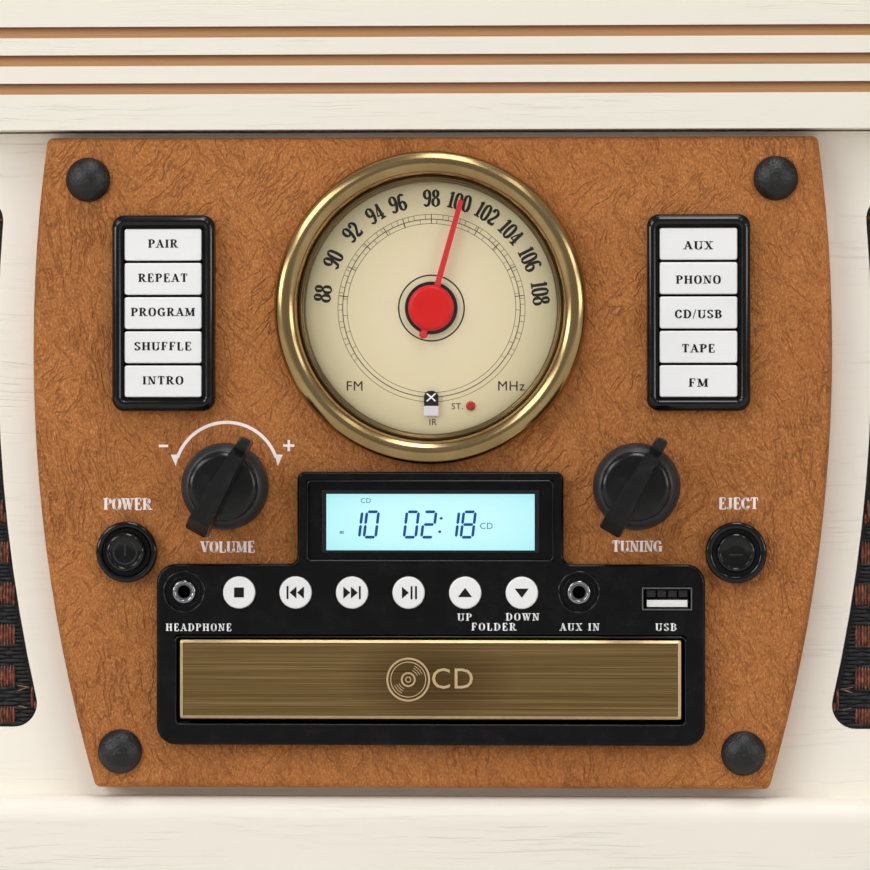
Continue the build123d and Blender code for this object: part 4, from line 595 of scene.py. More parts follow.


def aged_brass_finish():
    """Level brush lines, darker round the emblem, and a painted highlight on the edges."""
    finish = Finish("aged_brass", metallic=0.85)
    place = finish.place()
    brush = finish.noise(finish.stretch(place, 12, 500, 3400), 1.0, 4.0, 0.7)
    streak = finish.noise(finish.stretch(place, 9, 300, 700), 1.0, 3.0, 0.6)
    x, z = finish.axes(place, "XZ")
    x, z = abs(x - drawer.x), abs(z - drawer.z)
    side = x.between(drawer_half.x - HIGHLIGHT_IN, drawer_half.x - HIGHLIGHT_OUT)
    tall = z.between(drawer_half.z - HIGHLIGHT_IN, drawer_half.z - HIGHLIGHT_OUT)
    edge_highlight = finish.node("ShaderNodeMath", {"operation": "MAXIMUM"}, {0: side, 1: tall})
    away = (x * x / 560 + z * z / 150) ** 0.5
    middle = 1 - away.between(0.35, 1.1)
    colour = finish.ramp(
        brush,
        (0.3, linear(98, 76, 42)),
        (0.52, linear(132, 107, 66)),
        (0.72, linear(168, 142, 98)),
    )
    colour = finish.mix(streak.between(0.5, 0.75) * 0.2, colour, linear(104, 78, 42))
    colour = finish.mix(middle * 0.6, colour, linear(62, 40, 16))
    # painted highlight: the brass pales along its edges, as light on the bevel
    colour = finish.mix(edge_highlight * 0.9, colour, linear(240, 214, 172))
    finish.set(base_color=colour, roughness=brush * 0.2 + 0.3)
    finish.set(normal=finish.bump(brush, 0.2, 0.05))
    return finish


aged_brass = aged_brass_finish()
print("metals mixed")

# %% [markdown]
# ## Dial face, lamp and remote eye
#
# The face, the remote-control eye and the stereo lamp are one part of the model, so one
# finish paints all three by where they are. The face is warm cream that darkens towards
# its rim, where the brass ring shades it.


# %% Dial face
SIGNS_TOP = -20.0  # the eye and the lamp lie below this height on the dial


def dial_face_finish():
    finish = Finish("cream_face")
    place = finish.place()
    x, y, z = finish.axes(place, "XYZ")
    z = z - dial.z
    out = from_zero(x, z)
    paper = finish.noise(place, 900.0, 3.0)
    cream = finish.ramp(
        out / 40,
        (0.0, linear(236, 221, 188)),
        (0.62, linear(227, 212, 174)),
        (0.86, linear(211, 198, 158)),
        (1.0, linear(174, 163, 123)),
    )
    cream = finish.mix(paper * 0.1, cream, linear(196, 184, 140))
    proud = y < FACE_Y - 0.1
    eye = (abs(x) < 2.3) * (z < SIGNS_TOP) * proud
    glass = eye * (z > -28.6)
    lamp = (x > 8.0) * (z < SIGNS_TOP) * proud
    colour = finish.mix(eye, cream, linear(222, 216, 222))
    colour = finish.mix(glass, colour, linear(14, 14, 17))
    colour = finish.mix(lamp, colour, linear(176, 30, 26))
    shine = 0.5 - glass * 0.35 - lamp * 0.35
    finish.set(base_color=colour, roughness=shine)
    finish.set(normal=finish.bump(paper, 0.05, 0.03))
    return finish


cream_face = dial_face_finish()
print("dial face mixed")

# %% [markdown]
# The clear cover over the dial barely shows. Real glass in a renderer darkens what lies
# behind it, so this one is a film that is nearly see-through and keeps its gloss.

# %% Clear cover
clear_cover = Finish("clear_cover", base_color=linear(250, 250, 246), roughness=0.03)
haze = clear_cover.noise(clear_cover.place(), 35.0, 2.0)
clear_cover.set(alpha=haze * 0.008 + 0.004)
print("cover mixed")


# %% Red pointer on its black disc
POINTER_LEAN = math.radians(15.7)


def pointer_finish():
    finish = Finish("red_plastic")
    finish.mirror_level(0.22)
    place = finish.place()
    x, z = finish.axes(place, "XZ")
    z = z - dial.z
    out = from_zero(x, z)
    fine = finish.noise(place, 500.0, 2.0)
    across = abs(x * math.cos(POINTER_LEAN) - z * math.sin(POINTER_LEAN))
    disc = (out > 6.72) * (out < 7.9) * (across > 0.95)
    blade = (out > 6.9) * (across < 1.2)
    red = finish.mix(fine * 0.3, linear(216, 12, 12), linear(190, 10, 10))
    red = finish.mix(blade * 0.7, red, linear(206, 52, 54))
    finish.set(base_color=finish.mix(disc, red, linear(18, 17, 17)), roughness=0.28 + fine * 0.06)
    return finish


red_plastic = pointer_finish()
print("pointer mixed")

# %% [markdown]
# ## Lit display
#
# The screen glows: it gives light of its own as well as reflecting some, and the frame
# round it is black. The glow is a little stronger in the middle, where its lamp is.

# %% Screen
SCREEN_HALF = (30.4, 8.2)
SCREEN_Z = 116.4
SCREEN_DEPTH = (2.3, 3.9)  # behind the fascia's front, from and to


def screen_finish():
    finish = Finish("lit_screen", roughness=0.25)
    place = finish.place()
    x, y, z = finish.axes(place, "XYZ")
    x, z = abs(x) / SCREEN_HALF[0], abs(z - SCREEN_Z) / SCREEN_HALF[1]
    layer = (y > FASCIA_Y + SCREEN_DEPTH[0]) * (y < FASCIA_Y + SCREEN_DEPTH[1])
    lit = (x < 1.002) * (z < 1.004) * layer
    glow = finish.mix((x * x * x + z * z * z) * 0.5, linear(203, 253, 255), linear(170, 240, 246))
    colour = finish.mix(lit, linear(16, 17, 18), glow)
    finish.set(base_color=finish.mix(lit * 0.9, colour, linear(60, 80, 82)))
    finish.set(emission_color=finish.mix(lit, (0, 0, 0, 1), glow))
    finish.shader.inputs["Emission Strength"].default_value = 0.85
    return finish


lit_screen = screen_finish()
print("screen mixed")

# %% [markdown]
# ## Hidden and rear parts
#
# The back is bare brown hardboard, the circuit boards are green, and the record deck is
# black with a ribbed rubber mat. They are seen when the lid is up or the cabinet is
# turned round, so they get finishes of their own.


# %% Hardboard, circuit board, cord and rubber mat
def hardboard_finish():
    finish = Finish("plain_board", roughness=0.72)
    place = finish.place()
    fibre = finish.noise(finish.stretch(place, 260, 260, 900), 1.0, 5.0, 0.7)
    fleck = finish.noise(place, 1400.0, 2.0, 0.7)
    colour = finish.ramp(
        fibre * 0.6 + fleck * 0.4,
        (0.32, linear(86, 62, 42)),
        (0.52, linear(112, 84, 58)),
        (0.7, linear(138, 106, 76)),
    )
    finish.set(base_color=colour, normal=finish.bump(fibre, 0.3, 0.08))
    return finish


def speckled_finish(name, tone, shade, scale, roughness):
    finish = Finish(name, roughness=roughness)
    fleck = finish.noise(finish.place(), scale, 4.0, 0.7)
    finish.set(base_color=finish.mix(fleck.between(0.4, 0.65), tone, shade))
    finish.set(normal=finish.bump(fleck, 0.2, 0.05))
    return finish


def mat_finish():
    """Rubber mat with fine rings round the record pin."""
    finish = Finish("ribbed_mat", roughness=0.7)
    place = finish.place()
    pin = centre("platter_mat")
    x, y = finish.axes(place, "XY")
    out = from_zero(x - pin.x, y - pin.y)
    rings = finish.node("ShaderNodeMath", {"operation": "PINGPONG"}, {0: out, 1: 1.5})
    fleck = finish.noise(place, 1200.0, 2.0)
    colour = finish.mix(rings / 1.5, linear(26, 26, 27), linear(52, 52, 54))
    finish.set(base_color=colour, normal=finish.bump(rings + fleck * 0.3, 0.6, 0.3))
    return finish


hardboard = hardboard_finish()
circuit_green = speckled_finish("circuit_board", linear(28, 84, 44), linear(20, 62, 34), 300, 0.5)
dark_cord = speckled_finish("drive_cord", linear(50, 48, 46), linear(30, 29, 28), 2500, 0.8)
mat_rubber = mat_finish()
print("finishes of the hidden parts mixed")

# %% [markdown]
# The three sockets on the front are one part: plated rings and shells with a white tongue.
# The metal is painted dark inside each bore and inside the memory socket's shell, as
# shade, so they look deep.

# %% Socket metal
JACKS = ((-71.9, 96.05), (43.4, 96.05))
JACK_BORE = 2.0
USB = Vector((69.0, 0, 94.2))


def socket_finish():
    finish = Finish("socket_metal")
    place = finish.place()
    x, y, z = finish.axes(place, "XYZ")
    bore = 0.0
    for jack_x, jack_z in JACKS:
        bore = (from_zero(x - jack_x, z - jack_z) < JACK_BORE) + bore
    shell = (abs(x - USB.x) < 6.95) * (abs(z - USB.z) < 2.95)
    tongue = shell * (z > USB.z - 2.5) * (z < USB.z - 0.1)
    tongue = tongue * (abs(x - USB.x) < 6.1) * (y > FASCIA_Y + 0.3)
    # painted shade: the bores and the shell's inside are darkened in colour, as shade in the
    # holes
    bore_shade = bore + shell * (1 - tongue)
    scratch = finish.noise(place, 400.0, 3.0)
    colour = finish.mix(scratch * 0.4, linear(150, 151, 155), linear(112, 114, 118))
    colour = finish.mix(bore_shade.between(0.0, 1.0), colour, linear(10, 10, 11))
    colour = finish.mix(tongue, colour, linear(238, 238, 236))
    finish.set(base_color=colour, metallic=1 - (bore_shade + tongue).between(0.0, 1.0))
    finish.set(roughness=0.2 + tongue * 0.25 + bore_shade * 0.3)
    return finish


socket_metal = socket_finish()
print("socket metal mixed")

# %% [markdown]
# ## Finishes on the parts of the model
#
# A part whose shape is right keeps it and only gets a finish. One table pairs each finish
# with the parts that it covers.

# %% Dress the parts
KEYS = [f"{side}_key_{n}" for side in ("left", "right") for n in range(1, 6)]
TRANSPORTS = ["stop", "previous", "next", "play", "folder_up", "folder_down"]
COVERS = {
    ivory: ["side_panels"],
    baffle_ivory_lit: ["front_baffle"],
    plinth_ivory_lit: ["base_plinth"],
    lid_paint: ["lid_shell"],
    hardboard: ["back_panel"],
    leather: ["control_panel"],
    rubber: ["rubber_feet"],
    inner_black: [
        "speaker_drivers", "cd_drive", "turntable_deck", "cassette_bay", "cd_tray",
        "rear_terminals", "cue_lever", "speed_lever",
    ],
    satin_black: [
        "button_surrounds", "display_fascia", "cassette_flap", "cassette_key",
        "stop_switch", "motor_pulley",
    ],
    gloss_black: ["volume_knob", "tuning_knob", "power_button", "eject_button"],
    stud_black: ["panel_studs"],
    polished_brass: ["dial_bezel"],
    aged_brass: ["cd_tray_front"],
    cream_face: ["dial_face"],
    clear_cover: ["dial_lens"],
    red_plastic: ["dial_pointer"],
    lit_screen: ["display_module"],
    key_white: KEYS + [f"{name}_button" for name in TRANSPORTS],
    socket_metal: ["front_sockets"],
    zinc_steel: ["lid_hardware", "cabinet_hardware", "turntable_drive"],
    aluminium: ["platter", "tonearm", "tonearm_yoke"],
    mat_rubber: ["platter_mat"],
    circuit_green: ["amplifier_board", "control_board"],
    dark_cord: ["tuning_cord", "grille_panels"],
}
for finish, names in COVERS.items():
    for name in names:
        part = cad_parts[name]
        part.data.materials.clear()
        part.data.materials.append(finish.material)
dressed = sum(len(names) for names in COVERS.values())
print(dressed, "parts dressed of", len(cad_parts))

# %% [markdown]
# ## From a bmesh to a piece
#
# Every new piece is shaped in a bmesh in millimetres. One function turns it into an object
# at the origin, gives it its finish and lets it ride on the body that carries it.


# %% Finished pieces
def settle(name, shape, finish, body, smooth=False):
    """Makes the bmesh an object of the scene, riding on a body of the model."""
    bmesh.ops.scale(shape, vec=(MM, MM, MM), verts=shape.verts)
    mesh = bpy.data.meshes.new(name)
    shape.to_mesh(mesh)
    shape.free()
    if smooth:
        mesh.shade_smooth()
    piece = bpy.data.objects.new(name, mesh)
    mesh.materials.append(finish.material)
    bpy.context.scene.collection.objects.link(piece)
    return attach(piece, body)


def face_front(shape):
    """Turns every flat face towards the viewer of the front."""
    shape.normal_update()
    back = [face for face in shape.faces if face.normal.y > 0]
    bmesh.ops.reverse_faces(shape, faces=back)
    return shape


def settle_print(name, shape, ink, body):
    """Print is flat, so its faces have to look to the front."""
    return settle(name, face_front(shape), ink, body)


def grown(result, kind):
    return [item for item in result["geom"] if isinstance(item, kind)]


print("pieces can be made")

# %% [markdown]
# ## Printed letters
#
# The legends are in a bold roman type with thick upright strokes and thin level ones. A
# broad pen draws exactly that: a level edge that is moved along a path leaves a thick mark
# where the path is upright and none where it is level. So each letter is a few paths, an
# edge is extruded along each one, and a short upright edge adds the hairlines. The numbers
# are written the same way, only narrower.
#
# T is a thick path, H a hairline, B a thick curve, C a closed curve, F a flat foot and S a
# serif. Letters are 1 high, and the first number is the width that a letter takes.

# %% Letter paths
LETTERS = {
    "A": (0.78, "H .08,0 .38,1|T .36,1 .66,0|H .2,.34 .54,.34|S .08,0|S .66,0"),
    "B": (0.72, "T .17,0 .17,1|B .17,1 .43,.97 .55,.77 .42,.55 .17,.53"
          "|B .17,.53 .48,.5 .6,.27 .46,.03 .17,0|S .14,0|S .14,1"),
    "C": (0.72, "B .6,.7 .5,.95 .36,1 .14,.78 .1,.5 .14,.22 .36,0 .52,.06 .62,.28"
          "|H .61,.68 .61,1"),
    "D": (0.78, "T .16,0 .16,1|B .16,1 .44,.97 .64,.72 .66,.5 .64,.28 .44,.03 .16,0|S .14,0"
          "|S .14,1"),
    "E": (0.68, "T .17,0 .17,1|H .1,1 .57,1 .57,.76|H .17,.52 .42,.52|H .42,.64 .42,.4"
          "|H .1,0 .6,0 .6,.26"),
    "F": (0.64, "T .17,0 .17,1|H .1,1 .57,1 .57,.76|H .17,.52 .42,.52|H .42,.64 .42,.4"
          "|S .17,0"),
    "G": (0.8, "B .62,.72 .52,.95 .38,1 .15,.78 .1,.5 .15,.22 .38,0 .56,.05"
          "|T .63,.02 .63,.4|S .63,.42|H .62,.7 .62,1"),
    "H": (0.84, "T .17,0 .17,1|T .67,0 .67,1|H .17,.52 .67,.52|S .17,0|S .17,1|S .67,0"
          "|S .67,1"),
    "I": (0.38, "T .19,0 .19,1|S .19,0|S .19,1"),
    "J": (0.5, "T .3,1 .3,.22|B .3,.24 .26,.03 .14,0 .07,.14|S .3,1"),
    "L": (0.64, "T .17,0 .17,1|H .1,0 .58,0 .58,.28|S .17,1"),
    "M": (1.0, "H .14,0 .14,1|T .17,1 .45,.1|H .47,.05 .8,1|T .82,1 .82,0|S .14,0|S .12,1"
          "|S .84,1|S .82,0"),
    "N": (0.82, "H .14,0 .14,1|T .17,1 .62,.03|H .68,.02 .68,1|S .14,0|S .13,1|S .68,1"),
    "O": (0.8, "C .4,1 .61,.88 .69,.5 .61,.12 .4,0 .19,.12 .11,.5 .19,.88"),
    "P": (0.68, "T .17,0 .17,1|B .17,1 .45,.97 .58,.74 .45,.5 .17,.47|S .17,0|S .14,1"),
    "R": (0.78, "T .17,0 .17,1|B .17,1 .45,.97 .57,.76 .45,.54 .17,.51"
          "|T .38,.5 .64,.02|S .17,0|S .14,1|S .68,0"),
    "S": (0.6, "B .48,.8 .42,.95 .28,1 .11,.86 .14,.64 .44,.4 .49,.18 .32,0 .16,.05 .09,.24"
          "|H .5,.78 .5,1|H .08,.24 .08,0"),
    "T": (0.72, "T .36,0 .36,1|H .07,.74 .07,1 .65,1 .65,.74|S .36,0"),
    "U": (0.82, "T .17,1 .17,.3|B .17,.32 .22,.07 .42,0 .6,.07 .67,.32|H .67,.3 .67,1|S .17,1"
          "|S .67,1"),
    "V": (0.78, "T .13,1 .4,.02|H .42,.02 .66,1|S .14,1|S .65,1"),
    "W": (1.06, "T .12,1 .34,.02|H .36,.02 .53,.9|T .5,1 .74,.02|H .76,.02 .94,1|S .12,1"
          "|S .5,1|S .94,1"),
    "X": (0.78, "T .14,1 .62,0|H .13,0 .64,1|S .14,1|S .64,1|S .13,0|S .63,0"),
    "/": (0.34, "H .02,-.06 .3,1.06"),
    " ": (0.34, ""),
    "0": (0.5, "C .25,1 .38,.87 .42,.5 .38,.13 .25,0 .12,.13 .08,.5 .12,.87"),
    "1": (0.38, "T .22,0 .22,1|H .06,.86 .16,.9 .22,1|S .22,0"),
    "2": (0.5, "B .1,.74 .14,.93 .25,1 .4,.8 .36,.56 .16,.26 .07,.06|F .08,.06 .42,.06"
          "|H .42,.02 .43,.22"),
    "4": (0.52, "H .05,.27 .33,1|T .33,0 .33,1|H .04,.27 .48,.27|S .33,0"),
    "6": (0.5, "B .4,.86 .3,1 .16,.88 .08,.45 .11,.13 .25,0 .4,.14 .41,.36 .28,.56 .12,.42"),
    "8": (0.5, "C .25,1 .37,.9 .37,.66 .25,.54 .13,.66 .13,.9"
          "|C .25,.54 .41,.4 .41,.13 .25,0 .09,.13 .09,.4"),
    "9": (0.5, "B .1,.14 .2,0 .34,.12 .42,.55 .39,.87 .25,1 .1,.86 .09,.64 .22,.44 .38,.58"),
}
HAIR = 0.09
LAYER = 0.006  # strokes that cross lie on each other like coats of ink
SERIF = 0.36
CURVE_STEPS = 5


def points_of(text):
    return [Vector([float(v) for v in pair.split(",")] + [0]) for pair in text.split()]


def curved(points, closed):
    """Smooth path through the points, some steps from each to the next."""
    count = len(points)
    spans = count if closed else count - 1
    path = []
    for n in range(spans):
        picks = [n - 1, n, n + 1, n + 2]
        picks = [k % count if closed else min(max(k, 0), count - 1) for k in picks]
        a, b, c, d = (points[k] for k in picks)
        for step in range(CURVE_STEPS):
            t = step / CURVE_STEPS
            bend = (2 * a - 5 * b + 4 * c - d) * t * t + (3 * b - 3 * c + d - a) * t**3
            path.append(b + ((c - a) * t + bend) / 2)
    path.append(points[0] if closed else points[-1])
    return path


def stroke(shape, path, nib):
    """Moves the pen's edge along the path and leaves a face for each step."""
    edge = None
    for here, ahead in zip(path, path[1:]):
        if abs((ahead - here).cross(nib).z) < 1e-5:
            edge = None
            continue
        if edge is None:
            edge = shape.edges.new([shape.verts.new(here + side * nib / 2) for side in (-1, 1)])
        moved = bmesh.ops.extrude_edge_only(shape, edges=[edge])
        bmesh.ops.translate(shape, vec=ahead - here, verts=grown(moved, bmesh.types.BMVert))
        edge = next(
            new for new in grown(moved, bmesh.types.BMEdge)
            if not any(vert in edge.verts for vert in new.verts)
        )


def draw_letter(shape, letter, start, weight):
    """Strokes one after another, each a little nearer than the one before."""
    for n, part in enumerate(filter(None, LETTERS[letter][1].split("|"))):
        kind, path = part[0], points_of(part[1:])
        if kind in "BC":
            path = curved(path, kind == "C")
        if kind == "S":
            half = Vector((SERIF / 2, 0, 0))
            inward = HAIR / 2 if path[0].y < 0.5 else -HAIR / 2
            lift = Vector((0, inward, 0))
            path = [path[0] - half + lift, path[0] + half + lift]
        path = [point + start + Vector((0, 0, n * LAYER)) for point in path]
        if kind != "S":
            stroke(shape, path, Vector((weight if kind in "TBC" else HAIR, 0, 0)))
        stroke(shape, path, Vector((0, 2 * HAIR if kind == "F" else HAIR, 0)))


def write(word, cap, width=None, spacing=0.06, weight=0.2):
    """A word in a bmesh, standing on the XZ plane round its own middle."""
    shape = bmesh.new()
    pen = 0.0
    for letter in word:
        draw_letter(shape, letter, Vector((pen, 0, 0)), weight)
        pen += LETTERS[letter][0] + spacing
    pen -= spacing
    squeeze = width / (pen * cap) if width else 1.0
    bmesh.ops.translate(shape, vec=(-pen / 2, -0.5, 0), verts=shape.verts)
    bmesh.ops.scale(shape, vec=(cap * squeeze, cap, 1), verts=shape.verts)
    return upright(shape)


def upright(shape):
    """Stands a flat shape up from the XY plane onto the XZ plane."""
    bmesh.ops.rotate(shape, matrix=Matrix.Rotation(math.pi / 2, 3, "X"), verts=shape.verts)
    return shape


def join(target, shape, place=(0, 0, 0), turn=0.0):
    """Adds one bmesh to another, turned clockwise about the line of sight, then moved."""
    bmesh.ops.rotate(shape, matrix=Matrix.Rotation(turn, 3, "Y"), verts=shape.verts)
    bmesh.ops.translate(shape, vec=place, verts=shape.verts)
    held = bpy.data.meshes.new("held")
    shape.to_mesh(held)
    shape.free()
    target.from_mesh(held)
    bpy.data.meshes.remove(held)


print(len(LETTERS), "letters and numbers")

# %% [markdown]
# ## Flat signs
#
# Rings, bars and triangles of print are flat faces. A ring is a short edge that is spun
# round, a bar is a grid of one face, and an arrowhead is a circle with three corners.


# %% Rings, bars and triangles
def ring(radius, width, start=0.0, sweep=360.0, steps=64):
    """Flat ring or arc on the XZ plane, clockwise from upright."""
    shape = bmesh.new()
    ends = [shape.verts.new((0, 0, radius + side * width / 2)) for side in (-1, 1)]
    edge = shape.edges.new(ends)
    bmesh.ops.rotate(shape, matrix=Matrix.Rotation(math.radians(start), 3, "Y"), verts=ends)
    bmesh.ops.spin(shape, geom=[edge] + ends, cent=(0, 0, 0), axis=(0, 1, 0), steps=steps,
                   angle=math.radians(sweep), use_merge=sweep == 360.0)
    return shape


def bar(width, height):
    shape = bmesh.new()
    bmesh.ops.create_grid(shape, x_segments=1, y_segments=1, size=0.5)
    bmesh.ops.scale(upright(shape), vec=(width, 1, height), verts=shape.verts)
    return shape


def triangle(width, height):
    """Triangle that points up, with zero halfway up its height."""
    shape = bmesh.new()
    bmesh.ops.create_circle(shape, cap_ends=True, segments=3, radius=1.0)
    bmesh.ops.translate(upright(shape), vec=(0, 0, -0.25), verts=shape.verts)
    bmesh.ops.scale(shape, vec=(width / math.sqrt(3), 1, height / 1.5), verts=shape.verts)
    return shape


print("flat signs ready")


# %% Spun and raised shapes
def spun(points, steps=72):
    """Profile of (radius, distance to the front) spun about the line of sight."""
    shape = bmesh.new()
    verts = [shape.verts.new((radius, -ahead, 0)) for radius, ahead in points]
    edges = [shape.edges.new(pair) for pair in zip(verts, verts[1:])]
    bmesh.ops.spin(shape, geom=verts + edges, cent=(0, 0, 0), axis=(0, 1, 0), steps=steps,
                   angle=math.tau, use_merge=True)
    bmesh.ops.remove_doubles(shape, verts=shape.verts, dist=0.001)
    bmesh.ops.recalc_face_normals(shape, faces=shape.faces)
    return shape


def raised(shape, height):
    """Extrudes flat faces towards the front, so they become a closed low relief."""
    moved = bmesh.ops.extrude_face_region(shape, geom=shape.faces[:])
    bmesh.ops.translate(shape, vec=(0, -height, 0), verts=grown(moved, bmesh.types.BMVert))
    bmesh.ops.recalc_face_normals(shape, faces=shape.faces)
    return shape


def arc_points(radius_x, radius_y, first, last, steps):
    """Points of an ellipse round zero, from one angle in degrees to another."""
    turns = [math.radians(first + (last - first) * n / steps) for n in range(steps + 1)]
    return [(radius_x * math.cos(turn), radius_y * math.sin(turn)) for turn in turns]


print("spun and raised shapes ready")

# %% [markdown]
# ## Print on the leather panel
#
# The names of the knobs and buttons, and the curved double arrow over the volume knob, are
# stamped in white foil that looks faintly pink on the tan.


# %% Foil and ink
def ink_finish(name, tone, shade, roughness=0.45):
    finish = Finish(name, roughness=roughness)
    finish.mirror_level(0.2)
    wear = finish.noise(finish.place(), 1800.0, 3.0, 0.7)
    finish.set(base_color=finish.mix(wear.between(0.45, 0.75) * 0.6, tone, shade))
    finish.set(normal=finish.bump(wear, 0.1, 0.02))
    return finish


white_foil = ink_finish("white_foil", linear(255, 242, 238), linear(244, 214, 204))
white_ink = ink_finish("white_ink", linear(246, 246, 246), linear(214, 214, 216))
black_ink = ink_finish("black_ink", linear(18, 16, 16), linear(34, 32, 30))
brown_ink = ink_finish("scale_ink", linear(34, 28, 22), linear(52, 44, 34))
grey_ink = ink_finish("fine_scale_ink", linear(104, 94, 72), linear(128, 118, 92))
print("foil and inks mixed")

# %% Names of the knobs and buttons
panel_print = bmesh.new()
for word, x, z, cap, width in (
    ("VOLUME", -59.5, 109.1, 3.2, 16.0),
    ("TUNING", 60.2, 109.4, 3.2, 14.6),
    ("EJECT", 89.7, 121.9, 3.3, 11.5),
    ("POWER", -88.9, 121.6, 3.35, 14.0),
):
    join(panel_print, write(word, cap, width, weight=0.25), (x, PANEL_Y - PRINT, z))
ARC = Vector((-59.8, PANEL_Y - PRINT, 130.2))
ARC_RADIUS, ARC_START, ARC_SWEEP = 15.3, -71, 142
MINUS, PLUS = Vector((-78.4, ARC.y, 138.6)), Vector((-41.6, ARC.y, 138.7))
BAR_THICK = 0.75
join(panel_print, ring(ARC_RADIUS, 0.95, ARC_START, ARC_SWEEP, 40), ARC)
join(panel_print, bar(2.8, BAR_THICK), MINUS)
join(panel_print, bar(3.3, BAR_THICK), PLUS)
for side in (-1, 1):
    tip = ARC + Vector((side * 15.1, -CLEAR, 4.2))
    join(panel_print, triangle(2.5, 3.4), tip, math.pi + side * 0.06)
    join(panel_print, bar(BAR_THICK, 1.27), PLUS + Vector((0, 0, side * 1.01)))
settle_print("panel_print", panel_print, white_foil, "cabinet")
print("knobs named")

# %% Names under the sockets
fascia_print = bmesh.new()
for word, x, z, width in (
    ("HEADPHONE", -67.6, 85.7, 19.2),
    ("UP", 10.1, 88.8, 4.1),
    ("DOWN", 27.0, 88.9, 9.6),
    ("FOLDER", 18.6, 86.0, 12.9),
    ("AUX IN", 43.6, 86.0, 11.4),
    ("USB", 68.7, 86.0, 6.1),
):
    name = write(word, 2.1, width, spacing=0.24, weight=0.21)
    join(fascia_print, name, (x, FASCIA_Y - PRINT, z))
settle_print("fascia_print", fascia_print, white_ink, "cabinet")
print("sockets named")

# %% [markdown]
# ## Legends on the keys
#
# Each key slides on its own, so each legend is a piece of its own that rides on its key.
# The words are only what such keys do or choose.

# %% Key legends
LEGENDS = {
    "left_key_1": ("PAIR", 8.6),
    "left_key_2": ("REPEAT", 14.4),
    "left_key_3": ("PROGRAM", 18.7),
    "left_key_4": ("SHUFFLE", 16.7),
    "left_key_5": ("INTRO", 12.0),
    "right_key_1": ("AUX", 8.4),
    "right_key_2": ("PHONO", 13.0),
    "right_key_3": ("CD/USB", 13.6),
    "right_key_4": ("TAPE", 9.6),
    "right_key_5": ("FM", 5.6),
}
LEGEND_RISE = {"left": 0.3, "right": -0.45}  # above the middle of the key


def front_middle(node):
    """Middle of the front face of a part."""
    middle = centre(node)
    return Vector((middle.x, span(node)[0].y, middle.z))


for key, (word, width) in LEGENDS.items():
    legend = write(word, 2.35, width, spacing=0.16, weight=0.22)
    place = front_middle(key) + Vector((0, -PRINT, LEGEND_RISE[key.split("_")[0]]))
    bmesh.ops.translate(legend, vec=place, verts=legend.verts)
    settle_print(f"legend_{key}", legend, black_ink, key)
print(len(LEGENDS), "legends")

# %% Signs on the six round buttons
UP, RIGHT, DOWN, LEFT = (n * math.pi / 2 for n in (0, 1, 2, -1))
SKIP_BAR, ARROW, FOLDER_ARROW = (0.55, 3.8), (3.5, 2.0), (4.1, 2.7)
SIGNS = {  # shape, its sizes, x and z on the button, and which way it points
    "stop": [(bar, (2.9, 2.9), 0, 0, UP)],
    "previous": [(bar, SKIP_BAR, -2.3, 0, UP), (triangle, ARROW, -0.7, 0, LEFT),
                 (triangle, ARROW, 1.5, 0, LEFT)],
    "next": [(triangle, ARROW, -1.5, 0, RIGHT), (triangle, ARROW, 0.7, 0, RIGHT),
             (bar, SKIP_BAR, 2.3, 0, UP)],
    "play": [(triangle, ARROW, -0.9, 0, RIGHT), (bar, SKIP_BAR, 0.9, 0, UP),
             (bar, SKIP_BAR, 2.2, 0, UP)],
    "folder_up": [(triangle, FOLDER_ARROW, 0, 0.1, UP)],
    "folder_down": [(triangle, FOLDER_ARROW, 0, -0.1, DOWN)],
}
for name, parts in SIGNS.items():
    sign = bmesh.new()
    for kind, sizes, x, z, turn in parts:
        place = front_middle(f"{name}_button") + Vector((x, -PRINT, z))
        join(sign, kind(*sizes), place, turn)
    settle_print(f"sign_{name}", sign, black_ink, f"{name}_button")
print(len(TRANSPORTS), "signs")

# %% [markdown]
# ## Dial print
#
# The scale is three fine circles crossed by ticks, with narrow bold numbers standing
# outward round them. The numbers are set by hand on the real dial, so each has its angle.

# %% Scale, numbers and small words
NUMBERS = {
    "88": -82.3, "90": -63.6, "92": -46.2, "94": -30.9, "96": -17.9, "98": 0.0,
    "100": 14.8, "102": 30.5, "104": 46.4, "106": 63.6, "108": 82.2,
}
NUMBER_RADIUS = 32.1
SCALE = (24.7, 26.0, 27.4)
HUB_RING = 9.6
TICKS, TICK_STEP = 34, 3.65  # ticks on each side of the top, degrees apart


def on_dial(radius, degrees, lift=PRINT):
    turn = math.radians(degrees)
    place = Vector((math.sin(turn), 0, math.cos(turn))) * radius
    return Vector((dial.x, FACE_Y - lift, dial.z)) + place


def tick(target, inner, outer, degrees, width):
    place = on_dial((inner + outer) / 2, degrees)
    join(target, bar(width, outer - inner), place, math.radians(degrees))


numbers = bmesh.new()
for word, degrees in NUMBERS.items():
    number = write(word, 4.8, spacing=0.025, weight=0.19)
    join(numbers, number, on_dial(NUMBER_RADIUS, degrees), math.radians(degrees))
    tick(numbers, SCALE[0], SCALE[2], degrees, 0.22)
join(numbers, ring(SCALE[1], 0.2, steps=120), on_dial(0, 0, PRINT + 0.02))
join(numbers, ring(HUB_RING, 0.42, steps=80), on_dial(0, 0))
settle_print("dial_numbers", numbers, brown_ink, "cabinet")

fine_scale = bmesh.new()
for radius in (SCALE[0], SCALE[2]):
    join(fine_scale, ring(radius, 0.16, steps=120), on_dial(0, 0, PRINT - 0.02))
for n in range(-TICKS, TICKS + 1):
    inner, outer = SCALE[:2] if n % 3 == 1 else SCALE[1:]
    tick(fine_scale, inner, outer, n * TICK_STEP, 0.15)
settle_print("dial_fine_scale", fine_scale, grey_ink, "cabinet")


CAP_SHARE = 0.73  # height of a capital as a share of the type's size


